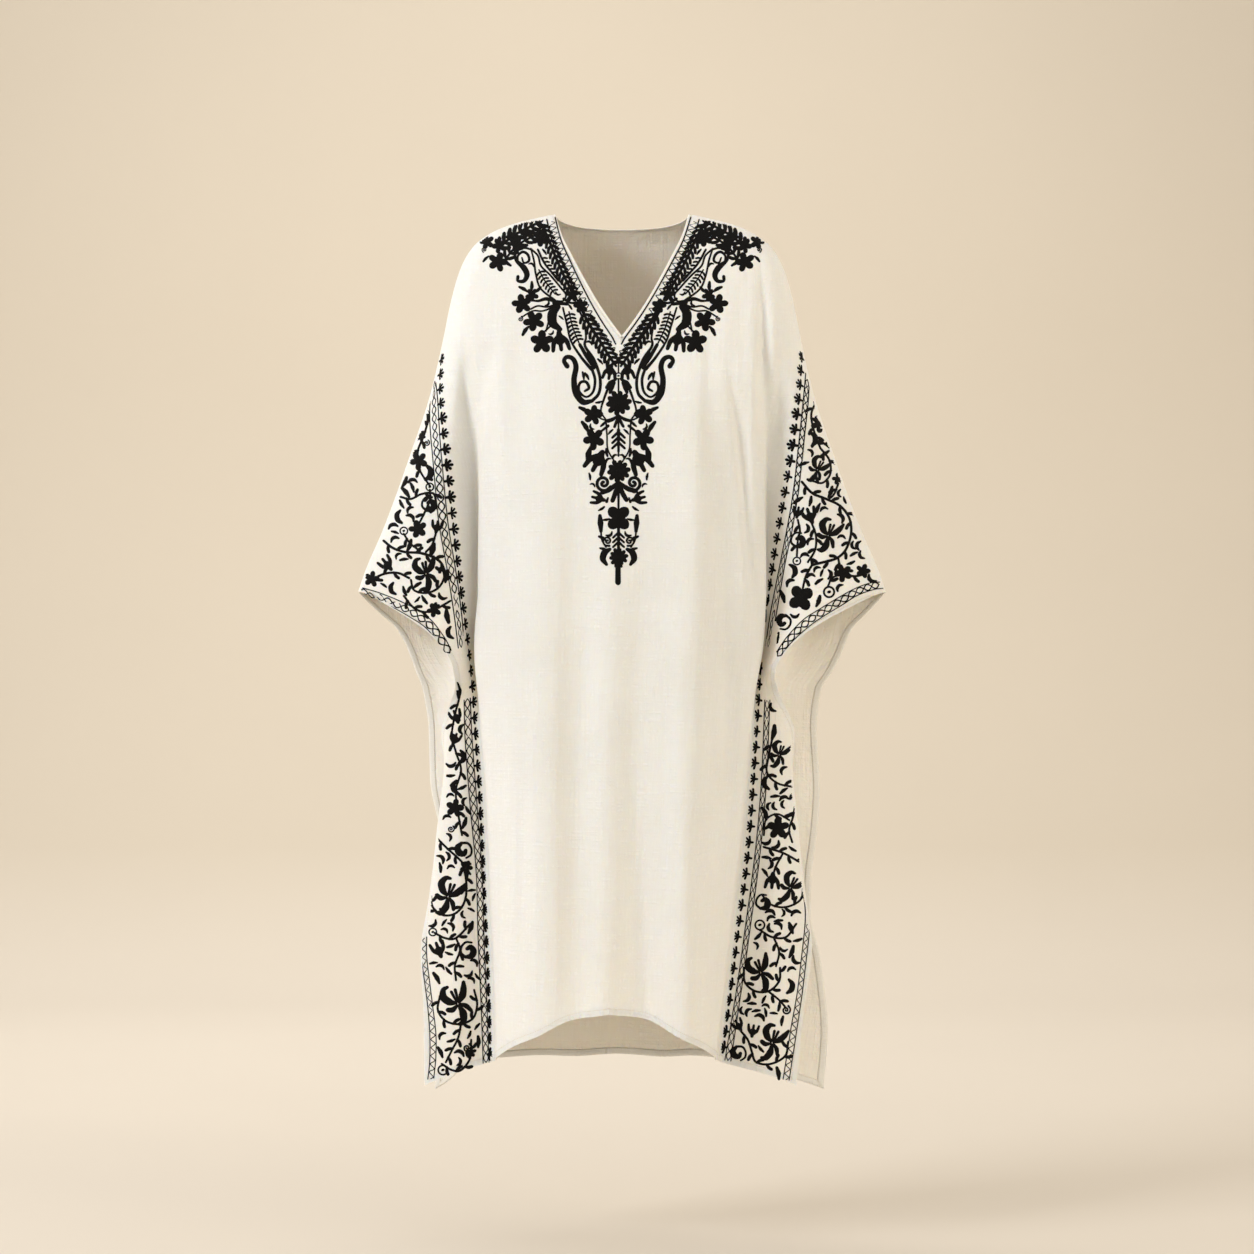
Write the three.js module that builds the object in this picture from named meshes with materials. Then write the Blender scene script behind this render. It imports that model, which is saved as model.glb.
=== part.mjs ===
// A loose embroidered cotton kaftan, hollow and in the pose in which it is worn.
// Two panels make it. They are joined along the overarm seams, from the neck to the sleeve ends, and
// along two upright side seams. Past the side seams each panel hangs free as a side flap, and above
// them the same free edges are the sleeve openings. A narrow band finishes the V neck and the back neck.
// Units are millimetres. +Z is up, -Y is the front and +X is the wearer's left. The origin lies midway
// between the two neck points, where the shoulders carry the cloth.
import * as THREE from "three";
import { mergeVertices } from "three/addons/utils/BufferGeometryUtils.js";

// Cloth and seams
const CLOTH_THICKNESS = 1.2;
const BINDING_WIDTH = 5;
const SEAM_GAP = 0.3;

// Neck opening
const NECK_HALF_WIDTH = 103;
const BACK_NECK_DROP = 18;

// Heights that divide the garment
const SLEEVE_END_Z = -554; // upper corner of the sleeve opening, on the overarm seam
const UNDERARM_Z = -698; // top of the side seam
const HEM_KNEE_Z = -826; // below this the rows of the panels bend towards the hem
const LONGEST_Z = -1279;

// The seam of the binding round the V neck: half width at each height.
const V_NECK = {
  columns: ["z", "x"],
  rows: [
    [0, 103],
    [-34, 93],
    [-68, 77],
    [-103, 59],
    [-140, 38],
    [-170, 18],
    [-194, 0],
  ],
};
const V_POINT_Z = -194;

// The overarm seam, from the neck point over the shoulder to the sleeve end. x is outward.
const OVERARM_SEAM = {
  columns: ["z", "x", "y"],
  rows: [
    [0, 106, 5],
    [-12, 157, 5],
    [-26, 192, 5],
    [-47, 219, 5],
    [-76, 236, 4],
    [-122, 250, 3],
    [-190, 264, 1],
    [-266, 282, 0],
    [-345, 308, -3],
    [-431, 338, -8],
    [-554, 386, -20],
  ],
};

// Level sections of the front panel. x is outward from the middle, and y is negative to the front.
// mid: the middle of the front. lip: where the body turns in. fold: the fold between body and sleeve,
// and below the underarm the side seam. crest: the front of the sleeve or flap. turn: the last bend
// before the edge.
const FRONT_SECTIONS = {
  columns: ["z", "mid_y", "lip_x", "lip_y", "fold_x", "fold_y", "crest_x", "crest_y", "turn_x", "turn_y"],
  rows: [
    [0, 2, 60, 2, 80, 2, 92, 3, 100, 4],
    [-12, -18, 105, -18, 125, -14, 144, -6, 152, 0],
    [-26, -32, 120, -28, 150, -22, 174, -12, 186, -3],
    [-47, -48, 132, -42, 170, -32, 200, -20, 212, -8],
    [-96, -70, 145, -66, 192, -52, 222, -38, 237, -18],
    [-190, -96, 162, -88, 214, -66, 238, -50, 256, -25],
    [-240, -112, 180, -92, 219, -57, 243, -53, 268, -26],
    [-300, -128, 195, -82, 217, -45, 248, -60, 284, -27],
    [-440, -138, 205, -70, 213, -26, 256, -68, 332, -34],
    [-554, -141, 207, -70, 212, -20, 265, -78, 377, -44],
    [-568, -141, 207, -69, 212, -19, 262, -78, 316, -75],
    [-598, -142, 208, -66, 212, -17, 244, -72, 270, -81],
    [-619, -142, 208, -64, 212, -16, 236, -64, 252, -78],
    [-642, -142, 207, -61, 211, -15, 226, -50, 236, -67],
    [-669, -142, 204, -58, 208, -14, 218, -38, 226, -54],
    [-698, -143, 200, -56, 204, -13, 215, -28, 226, -38],
    [-760, -144, 194, -56, 200, -14, 228, -26, 248, -20],
    [-826, -146, 188, -58, 194, -15, 228, -28, 254, -14],
    [-920, -147, 181, -62, 188, -18, 230, -34, 264, -16],
    [-1013, -149, 174, -66, 181, -22, 230, -38, 268, -26],
    [-1075, -150, 169, -70, 176, -25, 228, -42, 264, -34],
    [-1279, -153, 154, -80, 162, -32, 214, -50, 246, -46],
  ],
};

// Free edge of the front panel below the sleeve end: the front of the sleeve opening, then the flap.
const FRONT_EDGE = {
  columns: ["z", "x", "y"],
  rows: [
    [-554, 386, -20],
    [-560, 366, -42],
    [-568, 350, -55],
    [-582, 324, -69],
    [-598, 296, -77],
    [-619, 267, -80],
    [-642, 246, -74],
    [-661, 236, -64],
    [-680, 233, -54],
    [-698, 236, -42],
    [-730, 250, -18],
    [-760, 259, -3],
    [-826, 256, 14],
    [-920, 267, 8],
    [-1013, 278, -6],
    [-1075, 286, -20],
    [-1177, 277, -28],
    [-1279, 271, -36],
  ],
};

// Level sections of the back panel, in the same terms. y is positive to the back.
const BACK_SECTIONS = {
  columns: FRONT_SECTIONS.columns,
  rows: [
    [0, 8, 60, 8, 80, 8, 92, 7.5, 100, 6.5],
    [-8, 42, 60, 40, 90, 32, 114, 20, 128, 11],
    [-18, 62, 80, 58, 118, 46, 146, 28, 162, 14],
    [-37, 78, 110, 72, 160, 50, 190, 30, 202, 14],
    [-96, 98, 145, 86, 192, 62, 222, 44, 237, 22],
    [-190, 109, 162, 92, 212, 64, 238, 48, 256, 24],
    [-300, 112, 194, 80, 217, 48, 248, 56, 284, 25],
    [-440, 114, 204, 68, 213, 32, 258, 60, 332, 20],
    [-554, 117, 207, 66, 212, 24, 275, 58, 377, 6],
    [-570, 118, 207, 65, 212, 22, 274, 57, 345, 26],
    [-605, 119, 208, 63, 212, 19, 268, 54, 314, 41],
    [-640, 120, 207, 60, 211, 12, 258, 48, 296, 46],
    [-669, 121, 204, 57, 208, 0, 250, 42, 286, 47],
    [-698, 122, 200, 54, 204, -11.5, 242, 34, 270, 46],
    [-826, 126, 194, 52, 194, -13.5, 234, 28, 264, 42],
    [-920, 129, 188, 50, 188, -16.5, 230, 22, 256, 36],
    [-1013, 132, 184, 46, 181, -20.5, 228, 18, 254, 30],
    [-1075, 134, 181, 44, 176, -23.5, 228, 14, 256, 26],
    [-1279, 140, 174, 40, 162, -30.5, 222, 4, 256, 16],
  ],
};

// Free edge of the back panel below the sleeve end.
const BACK_EDGE = {
  columns: ["z", "x", "y"],
  rows: [
    [-554, 386, -20],
    [-560, 382, -8],
    [-570, 374, 6],
    [-587, 358, 20],
    [-605, 339, 30],
    [-625, 328, 37],
    [-645, 320, 41],
    [-669, 310, 44],
    [-698, 296, 46],
    [-760, 288, 50],
    [-830, 289, 50],
    [-920, 278, 44],
    [-972, 273, 41],
    [-1027, 273, 37],
    [-1100, 283, 33],
    [-1204, 290, 27],
    [-1279, 287, 24],
  ],
};

// How far the lower garment hangs to the wearer's right, at the body and at the flap edges.
const DRIFT = {
  columns: ["z", "body", "front_edge", "back_edge"],
  rows: [
    [-560, 0, 0, 0],
    [-605, -3, -6, 3],
    [-640, -5, -9, 5],
    [-670, -7, -11, 3],
    [-700, -8, -8, 0],
    [-830, -9, -5, 4],
    [-920, -11, -6, 10],
    [-1027, -15, -7, 6],
    [-1100, -17, -9, 11],
    [-1204, -22, -14, 14],
    [-1279, -26, -17, 11],
  ],
};

// Hem height at each station across half a panel, from the middle to the free edge.
const HEMS = {
  columns: ["station", "front", "back"],
  rows: [
    [0, -1158, -1252],
    [1, -1168, -1252],
    [2, -1190, -1251],
    [3, -1208, -1249],
    [4, -1228, -1245],
    [5, -1240, -1240],
    [6, -1252, -1258],
    [8, -1275, -1288],
  ],
};

// The largest folds of the body, as ridges (+) and troughs (-) that run down the cloth. x is signed.
const FOLD_COLUMNS = ["x_top", "x_hem", "z_start", "z_full", "half_width", "height"];
const FRONT_FOLDS = {
  columns: FOLD_COLUMNS,
  rows: [
    [-128, -148, -420, -1150, 34, 8],
    [-45, -30, -520, -1150, 46, -26],
    [62, 62, -430, -1150, 30, 10],
    [118, 106, -260, -900, 18, -7],
  ],
};
const BACK_FOLDS = {
  columns: FOLD_COLUMNS,
  rows: [
    [-120, -132, -360, -1100, 30, 9],
    [-62, -70, -420, -1150, 30, -12],
    [4, -4, -300, -1100, 34, 12],
    [70, 58, -420, -1150, 28, -12],
    [124, 112, -360, -1100, 30, 8],
  ],
};

// The body arc from the middle of a panel to its lip.
const ARC_SHARES = [0, 0.35, 0.62, 0.84];
const ARC_ROUND = 2.6;
const ARC_DEPTH = 0.75;

// Stations across half a panel: 0 middle, 4 lip, 5 fold or side seam, 6 crest, 7 turn, 8 edge.
const LIP = 4;
const FOLD = 5;
const EDGE = 8;
const STEPS_ACROSS = 16;
const ROW_HEIGHTS = [
  0, -4, -8, -12, -16, -18, -26, -47, -76, -98, -122, -146, -170, -194, -240, -300, -370, -440, -500,
  -554, -560, -568, -582, -598, -619, -642, -669, -698, -730, -760, -826, -920, -1013, -1075, -1177, -1279,
];

const { clamp, lerp, smoothstep } = THREE.MathUtils;

// A smooth curve through one column of a table, with no overshoot between its rows.
function smoothColumn(table, name) {
  const at = table.columns.indexOf(name);
  const rows = [...table.rows].sort((a, b) => a[0] - b[0]);
  const z = rows.map((row) => row[0]);
  const v = rows.map((row) => row[at]);
  const rise = z.slice(1).map((_, i) => (v[i + 1] - v[i]) / (z[i + 1] - z[i]));
  const slope = v.map((_, i) => {
    if (i === 0) return rise[0];
    if (i === v.length - 1) return rise[i - 1];
    if (rise[i - 1] * rise[i] <= 0) return 0;
    const before = z[i] - z[i - 1];
    const after = z[i + 1] - z[i];
    const w1 = 2 * after + before;
    const w2 = after + 2 * before;
    return (w1 + w2) / (w1 / rise[i - 1] + w2 / rise[i]);
  });
  return (at_z) => {
    const here = clamp(at_z, z[0], z[z.length - 1]);
    let i = 0;
    while (i < z.length - 2 && here > z[i + 1]) i += 1;
    const h = z[i + 1] - z[i];
    const t = (here - z[i]) / h;
    const t2 = t * t;
    const t3 = t2 * t;
    return (
      (2 * t3 - 3 * t2 + 1) * v[i] +
      (t3 - 2 * t2 + t) * h * slope[i] +
      (3 * t2 - 2 * t3) * v[i + 1] +
      (t3 - t2) * h * slope[i + 1]
    );
  };
}

function smoothTable(table) {
  return Object.fromEntries(table.columns.slice(1).map((name) => [name, smoothColumn(table, name)]));
}

const overarm = smoothTable(OVERARM_SEAM);
const drift = smoothTable(DRIFT);
const hem = smoothTable(HEMS);
const vNeck = smoothColumn(V_NECK, "x");
const backNeck = (z) => NECK_HALF_WIDTH * Math.sqrt(Math.max(0, 1 - (z / BACK_NECK_DROP) ** 2));

const PANELS = {
  front: {
    facing: -1,
    section: smoothTable(FRONT_SECTIONS),
    edge: smoothTable(FRONT_EDGE),
    edgeDrift: drift.front_edge,
    folds: FRONT_FOLDS,
    hem: hem.front,
    neck: vNeck,
    neckBottom: V_POINT_Z,
  },
  back: {
    facing: 1,
    section: smoothTable(BACK_SECTIONS),
    edge: smoothTable(BACK_EDGE),
    edgeDrift: drift.back_edge,
    folds: BACK_FOLDS,
    hem: hem.back,
    neck: backNeck,
    neckBottom: -BACK_NECK_DROP,
  },
};

// How far the large folds push the cloth out at signed x and height z.
function foldHeight(folds, x, z) {
  return folds.rows.reduce((sum, [xTop, xHem, zStart, zFull, halfWidth, height]) => {
    const down = smoothstep(-z, -zStart, -zFull);
    const middle = lerp(xTop, xHem, down);
    return sum + height * down * Math.exp(-(((x - middle) / halfWidth) ** 2));
  }, 0);
}

// The edge of a panel at height z: the overarm seam, or below the sleeve end the free edge.
function edgePoint(panel, z) {
  if (z >= SLEEVE_END_Z) {
    const y = overarm.y(z) + (panel.facing * SEAM_GAP) / 2;
    return new THREE.Vector3(overarm.x(z), y, 0);
  }
  return new THREE.Vector3(panel.edge.x(z), panel.edge.y(z), 0);
}

// The level section of half a panel, outward positive, as a smooth curve through its stations.
const sectionCache = new Map();
function sectionCurve(panel, z) {
  const key = panel.facing + ":" + z;
  if (sectionCache.has(key)) return sectionCache.get(key);
  const s = panel.section;
  const lip = new THREE.Vector3(s.lip_x(z), s.lip_y(z), 0);
  const arc = ARC_SHARES.map((share) => {
    const rise = (1 - share ** ARC_ROUND) ** ARC_DEPTH;
    return new THREE.Vector3(share * lip.x, lerp(lip.y, s.mid_y(z), rise), 0);
  });
  const turn = new THREE.Vector3(s.turn_x(z), s.turn_y(z), 0);
  const edge = edgePoint(panel, z);
  // Past the overarm seam the cloth would go on round the arm, so the curve meets the seam square to it.
  const past = z >= SLEEVE_END_Z
    ? new THREE.Vector3(turn.x, 2 * edge.y - turn.y, 0)
    : edge.clone().multiplyScalar(2).sub(turn);
  const stations = [
    new THREE.Vector3(-arc[1].x, arc[1].y, 0),
    ...arc,
    lip,
    new THREE.Vector3(s.fold_x(z), s.fold_y(z), 0),
    new THREE.Vector3(s.crest_x(z), s.crest_y(z), 0),
    turn,
    edge,
    past,
  ];
  const curve = new THREE.CatmullRomCurve3(stations, false, "centripetal");
  const at = (station) => curve.getPoint((station + 1) / (stations.length - 1));
  sectionCache.set(key, at);
  return at;
}

// A point of a panel. side is -1 or 1, station runs from 0 to EDGE, z is the height.
function clothPoint(panel, side, station, z) {
  const p = sectionCurve(panel, z)(station);
  const onBody = 1 - smoothstep(station, LIP - 0.9, LIP + 0.7);
  const toEdge = smoothstep(station, FOLD, EDGE);
  const x = side * p.x + lerp(drift.body(z), panel.edgeDrift(z), toEdge);
  const y = p.y + panel.facing * onBody * foldHeight(panel.folds, x, z);
  return new THREE.Vector3(x, y, z);
}

// The station at which the neck opening cuts the section at height z.
function neckStation(panel, z) {
  if (z <= panel.neckBottom) return 0;
  const at = sectionCurve(panel, z);
  const target = panel.neck(z);
  let low = 0;
  let high = EDGE;
  for (let i = 0; i < 40; i += 1) {
    const middle = (low + high) / 2;
    if (at(middle).x < target) low = middle;
    else high = middle;
  }
  return (low + high) / 2;
}

// The height of a row at a station: rows bend so that the last one lies along the hem.
function rowHeight(panel, rowZ, station) {
  if (rowZ >= HEM_KNEE_Z) return rowZ;
  const share = (rowZ - HEM_KNEE_Z) / (LONGEST_Z - HEM_KNEE_Z);
  return lerp(HEM_KNEE_Z, panel.hem(station), share);
}

// Joins grids of points into one sheet. Each grid is rows of points; flip turns its faces round.
function sheetFromGrids(grids) {
  const position = [];
  const index = [];
  const square = [];
  for (const { rows, flip, isSquare } of grids) {
    const start = position.length / 3;
    const wide = rows[0].length;
    rows.forEach((row, r) =>
      row.forEach((p, c) => {
        position.push(p.x, p.y, p.z);
        square.push(isSquare(r, c) ? 1 : 0);
      }),
    );
    for (let r = 0; r < rows.length - 1; r += 1)
      for (let c = 0; c < wide - 1; c += 1) {
        const a = start + r * wide + c;
        const [b, d, e] = [a + 1, a + wide, a + wide + 1];
        if (flip) index.push(a, b, d, b, e, d);
        else index.push(a, d, b, b, d, e);
      }
  }
  const sheet = new THREE.BufferGeometry();
  sheet.setAttribute("position", new THREE.Float32BufferAttribute(position, 3));
  sheet.setAttribute("square", new THREE.Float32BufferAttribute(square, 1));
  sheet.setIndex(index);
  const merged = mergeVertices(sheet, 1e-3);
  merged.computeVertexNormals();
  return merged;
}

// Gives a sheet its thickness. Where the sheet is marked square, the wall is kept square to the seam
// plane: lengthwise at the overarm, crosswise at the side seam.
function wallFromSheet(sheet) {
  const points = sheet.attributes.position;
  const normals = sheet.attributes.normal;
  const square = sheet.attributes.square;
  const count = points.count;
  const position = [];
  for (const offset of [CLOTH_THICKNESS / 2, -CLOTH_THICKNESS / 2])
    for (let i = 0; i < count; i += 1) {
      const n = new THREE.Vector3().fromBufferAttribute(normals, i);
      const p = new THREE.Vector3().fromBufferAttribute(points, i);
      if (square.getX(i)) {
        if (p.z >= SLEEVE_END_Z) n.y = 0;
        else n.set(0, Math.sign(n.y), 0);
        n.normalize();
      }
      p.addScaledVector(n, offset);
      position.push(p.x, p.y, p.z);
    }
  const faces = sheet.index.array;
  const index = [];
  const uses = new Map();
  for (let i = 0; i < faces.length; i += 3) {
    const [a, b, c] = faces.slice(i, i + 3);
    if (a === b || b === c || c === a) continue;
    index.push(a, b, c, a + count, c + count, b + count);
    for (const [from, to] of [[a, b], [b, c], [c, a]]) uses.set(from + ">" + to, [from, to]);
  }
  for (const [from, to] of uses.values()) {
    if (uses.has(to + ">" + from)) continue;
    index.push(to, from, from + count, to, from + count, to + count);
  }
  const wall = new THREE.BufferGeometry();
  wall.setAttribute("position", new THREE.Float32BufferAttribute(position, 3));
  wall.setIndex(index);
  return wall;
}

function panelSheet(panel) {
  const grids = [-1, 1].map((side) => ({
    flip: side * panel.facing > 0,
    isSquare: (r, c) => {
      const station = (c * EDGE) / STEPS_ACROSS;
      const z = ROW_HEIGHTS[r];
      return (station === EDGE && z >= SLEEVE_END_Z) || (station === FOLD && z <= UNDERARM_Z);
    },
    rows: ROW_HEIGHTS.map((rowZ) => {
      const first = neckStation(panel, rowZ);
      return Array.from({ length: STEPS_ACROSS + 1 }, (_, c) => {
        const station = lerp(first, EDGE, c / STEPS_ACROSS);
        return clothPoint(panel, side, station, rowHeight(panel, rowZ, station));
      });
    }),
  }));
  return sheetFromGrids(grids);
}

// The neck edge of a panel, from its right neck point to its left, with the outward normal at each point.
function neckEdge(panel, sheet) {
  const points = sheet.attributes.position;
  const normals = sheet.attributes.normal;
  const found = [];
  for (let i = 0; i < points.count; i += 1) {
    const p = new THREE.Vector3().fromBufferAttribute(points, i);
    if (p.z < panel.neckBottom - 0.01) continue;
    if (Math.abs(Math.abs(p.x) - panel.neck(p.z)) > 0.01) continue;
    found.push({ p, n: new THREE.Vector3().fromBufferAttribute(normals, i) });
  }
  return found.sort((a, b) => a.p.x - b.p.x);
}

// The binding: a closed strip that stands off the neck edge by the seam gap, into the opening.
function neckBinding(frontSheet, backSheet) {
  const loop = [...neckEdge(PANELS.front, frontSheet), ...neckEdge(PANELS.back, backSheet).reverse()];
  const count = loop.length;
  const intoOpening = (normal, from, to) => normal.clone().cross(to.clone().sub(from)).normalize();
  const position = [];
  loop.forEach(({ p, n }, i) => {
    const before = loop[(i + count - 1) % count];
    const after = loop[(i + 1) % count];
    const gapBefore = before.p.distanceTo(p) < 1;
    const gapAfter = after.p.distanceTo(p) < 1;
    const normal = n.clone();
    if (gapBefore) normal.add(before.n).normalize();
    if (gapAfter) normal.add(after.n).normalize();
    const a = intoOpening(normal, before.p, gapAfter ? p : after.p);
    const b = intoOpening(normal, gapBefore ? p : before.p, after.p);
    const first = gapBefore ? b : intoOpening(normal, before.p, p);
    const last = gapAfter ? a : intoOpening(normal, p, after.p);
    const mitre = first.clone().add(last).normalize();
    const reach = 1 / Math.max(0.4, mitre.dot(first));
    for (const distance of [SEAM_GAP, SEAM_GAP + BINDING_WIDTH])
      for (const half of [CLOTH_THICKNESS / 2, -CLOTH_THICKNESS / 2]) {
        const corner = p.clone().addScaledVector(mitre, distance * reach).addScaledVector(normal, half);
        position.push(corner.x, corner.y, corner.z);
      }
  });
  // Corners of each cross-section: 0 seam outside, 1 seam inside, 2 edge outside, 3 edge inside.
  const around = [0, 1, 3, 2];
  const index = [];
  for (let i = 0; i < count; i += 1) {
    const next = ((i + 1) % count) * 4;
    around.forEach((corner, k) => {
      const other = around[(k + 1) % 4];
      const [a, b, c, d] = [i * 4 + corner, i * 4 + other, next + corner, next + other];
      index.push(a, b, c, b, d, c);
    });
  }
  const ring = new THREE.BufferGeometry();
  ring.setAttribute("position", new THREE.Float32BufferAttribute(position, 3));
  ring.setIndex(index);
  return ring;
}

function clothMesh(name, geometry, colour) {
  const material = new THREE.MeshStandardMaterial({ color: colour, roughness: 0.9, metalness: 0 });
  const mesh = new THREE.Mesh(geometry, material);
  mesh.name = name;
  return mesh;
}

const IVORY = 0xefe8d8;
const frontSheet = panelSheet(PANELS.front);
const backSheet = panelSheet(PANELS.back);
const kaftan = new THREE.Group();
kaftan.add(
  clothMesh("front_panel", wallFromSheet(frontSheet), IVORY),
  clothMesh("back_panel", wallFromSheet(backSheet), IVORY),
  clothMesh("neck_binding", neckBinding(frontSheet, backSheet), IVORY),
);

export default kaftan;
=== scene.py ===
"""Visual model of a loose embroidered cotton kaftan, hollow and in the pose in which it is worn.

The garment is built in the frame of its CAD model: metres, +Z up, -Y to the front, origin between the two
neck points. Tables are in millimetres, as a maker would measure them, and are turned to metres once.
"""

import logging
import math
from dataclasses import dataclass
from enum import Enum
from typing import Callable, Dict, List, Optional, Sequence, Tuple

import bmesh
import bpy
import numpy as np
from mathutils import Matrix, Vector


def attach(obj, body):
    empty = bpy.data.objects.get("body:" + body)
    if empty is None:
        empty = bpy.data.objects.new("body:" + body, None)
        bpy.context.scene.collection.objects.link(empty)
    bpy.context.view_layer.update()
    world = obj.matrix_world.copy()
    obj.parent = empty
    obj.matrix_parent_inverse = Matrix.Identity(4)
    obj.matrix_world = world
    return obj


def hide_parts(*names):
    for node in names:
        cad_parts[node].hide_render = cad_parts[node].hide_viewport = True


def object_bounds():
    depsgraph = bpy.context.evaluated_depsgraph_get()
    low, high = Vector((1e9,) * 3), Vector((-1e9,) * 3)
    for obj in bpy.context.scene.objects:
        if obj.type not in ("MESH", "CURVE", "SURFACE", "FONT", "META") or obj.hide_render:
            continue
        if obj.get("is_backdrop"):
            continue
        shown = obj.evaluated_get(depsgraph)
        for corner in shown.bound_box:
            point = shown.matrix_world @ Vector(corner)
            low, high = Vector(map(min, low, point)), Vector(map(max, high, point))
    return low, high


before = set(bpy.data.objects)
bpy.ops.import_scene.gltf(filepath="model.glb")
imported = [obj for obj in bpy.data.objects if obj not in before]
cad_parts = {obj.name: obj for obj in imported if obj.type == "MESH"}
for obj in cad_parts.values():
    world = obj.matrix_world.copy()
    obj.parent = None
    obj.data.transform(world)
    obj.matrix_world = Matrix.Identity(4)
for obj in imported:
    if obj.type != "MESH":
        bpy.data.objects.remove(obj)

LOG = logging.getLogger("kaftan")
MM = 0.001
# In millimetres: the point that the front view is seen from, half the cloth's thickness, and the spacing
# of the hem's and the binding's stitches.
STUDIO_EYE = (7.35, -5000.0, -605.6)
HALF_WALL = 0.45
HEM_STITCH_MM = 3.2
BINDING_STITCH_MM = 2.9
Rows = Sequence[Sequence[float]]
Point = Tuple[float, float]
Station = Tuple[np.ndarray, np.ndarray, np.ndarray, np.ndarray]


# ------------------------------------------------------------------------------------------------
# Small helpers
# ------------------------------------------------------------------------------------------------


def linear(hex_colour: str) -> Tuple[float, float, float, float]:
    """Turns an sRGB hex colour into the linear RGBA that a shader socket takes.

    Args:
        hex_colour: Six hex digits, such as "efe8d8".

    Returns:
        Linear red, green, blue and an alpha of 1.
    """
    parts = [int(hex_colour[i : i + 2], 16) / 255 for i in (0, 2, 4)]
    return tuple(p / 12.92 if p <= 0.04045 else ((p + 0.055) / 1.055) ** 2.4 for p in parts) + (1.0,)


def add_node(tree: bpy.types.NodeTree, kind: str, settings: Dict = {}, **links) -> bpy.types.Node:
    """Adds one node with its settings and inputs.

    Args:
        tree: The tree that takes the node.
        kind: The node's type name.
        settings: Properties to set on the node.
        **links: Input name (spaces as underscores) or index as "i0" to a value or an output socket.

    Returns:
        The new node.
    """
    node = tree.nodes.new(kind)
    for name, value in settings.items():
        setattr(node, name, value)
    for name, value in links.items():
        is_index = name[0] == "i" and name[1:].isdigit()
        socket = node.inputs[int(name[1:])] if is_index else node.inputs[name.replace("_", " ")]
        if isinstance(value, bpy.types.NodeSocket):
            tree.links.new(value, socket)
        else:
            socket.default_value = value
    return node


def smoothstep(value: np.ndarray, low: float, high: float) -> np.ndarray:
    """Rises smoothly from 0 at low to 1 at high."""
    t = np.clip((value - low) / (high - low), 0.0, 1.0)
    return t * t * (3 - 2 * t)


def arc_length(points: np.ndarray) -> np.ndarray:
    """Gives the distance of each point from the first, along the line through them."""
    return np.concatenate([[0], np.cumsum(np.linalg.norm(np.diff(points, axis=0), axis=1))])


def mesh_object(name: str, vertices: np.ndarray, faces: Sequence, smooth: bool = True) -> bpy.types.Object:
    """Makes a mesh object at the origin from vertices in metres.

    Args:
        name: Name of the object and its mesh.
        vertices: Array of points, one row each.
        faces: Vertex indices of each face.
        smooth: Whether the faces are shaded smooth.

    Returns:
        The linked object.
    """
    mesh = bpy.data.meshes.new(name)
    mesh.from_pydata(np.asarray(vertices).tolist(), [], [list(map(int, f)) for f in faces])
    mesh.polygons.foreach_set("use_smooth", [smooth] * len(mesh.polygons))
    mesh.update()
    obj = bpy.data.objects.new(name, mesh)
    bpy.context.scene.collection.objects.link(obj)
    return obj


def uv_layers(obj: bpy.types.Object, cloth: Sequence, edge: Sequence) -> None:
    """Gives a mesh its cloth and edge UV maps, from values in millimetres at each vertex."""
    index = np.zeros(len(obj.data.loops), dtype=int)
    obj.data.loops.foreach_get("vertex_index", index)
    for layer, values in (("cloth", cloth), ("edge", edge)):
        uv = obj.data.uv_layers.new(name=layer)
        uv.data.foreach_set("uv", (np.array(values, dtype=float)[index] * MM).reshape(-1))


def grid_faces(base: int, high: int, wide: int, outwards: bool) -> List[List[int]]:
    """Gives the faces of a grid of points, numbered row by row from base."""
    faces = []
    for r in range(high - 1):
        for c in range(wide - 1):
            a = base + r * wide + c
            quad = [a, a + 1, a + wide + 1, a + wide]
            faces.append(quad if outwards else quad[::-1])
    return faces


def apply_modifiers(obj: bpy.types.Object) -> None:
    """Replaces an object's mesh by its evaluated mesh and removes its modifiers."""
    graph = bpy.context.evaluated_depsgraph_get()
    done = obj.evaluated_get(graph)
    mesh = bpy.data.meshes.new_from_object(done, preserve_all_data_layers=True, depsgraph=graph)
    obj.modifiers.clear()
    old = obj.data
    obj.data = mesh
    bpy.data.meshes.remove(old)


def thicken(obj: bpy.types.Object, thickness: float) -> None:
    """Turns a sheet into a wall of a thickness in millimetres, half to each side."""
    wall = obj.modifiers.new("wall", "SOLIDIFY")
    wall.thickness = thickness * MM
    wall.offset = 0.0
    apply_modifiers(obj)


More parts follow.
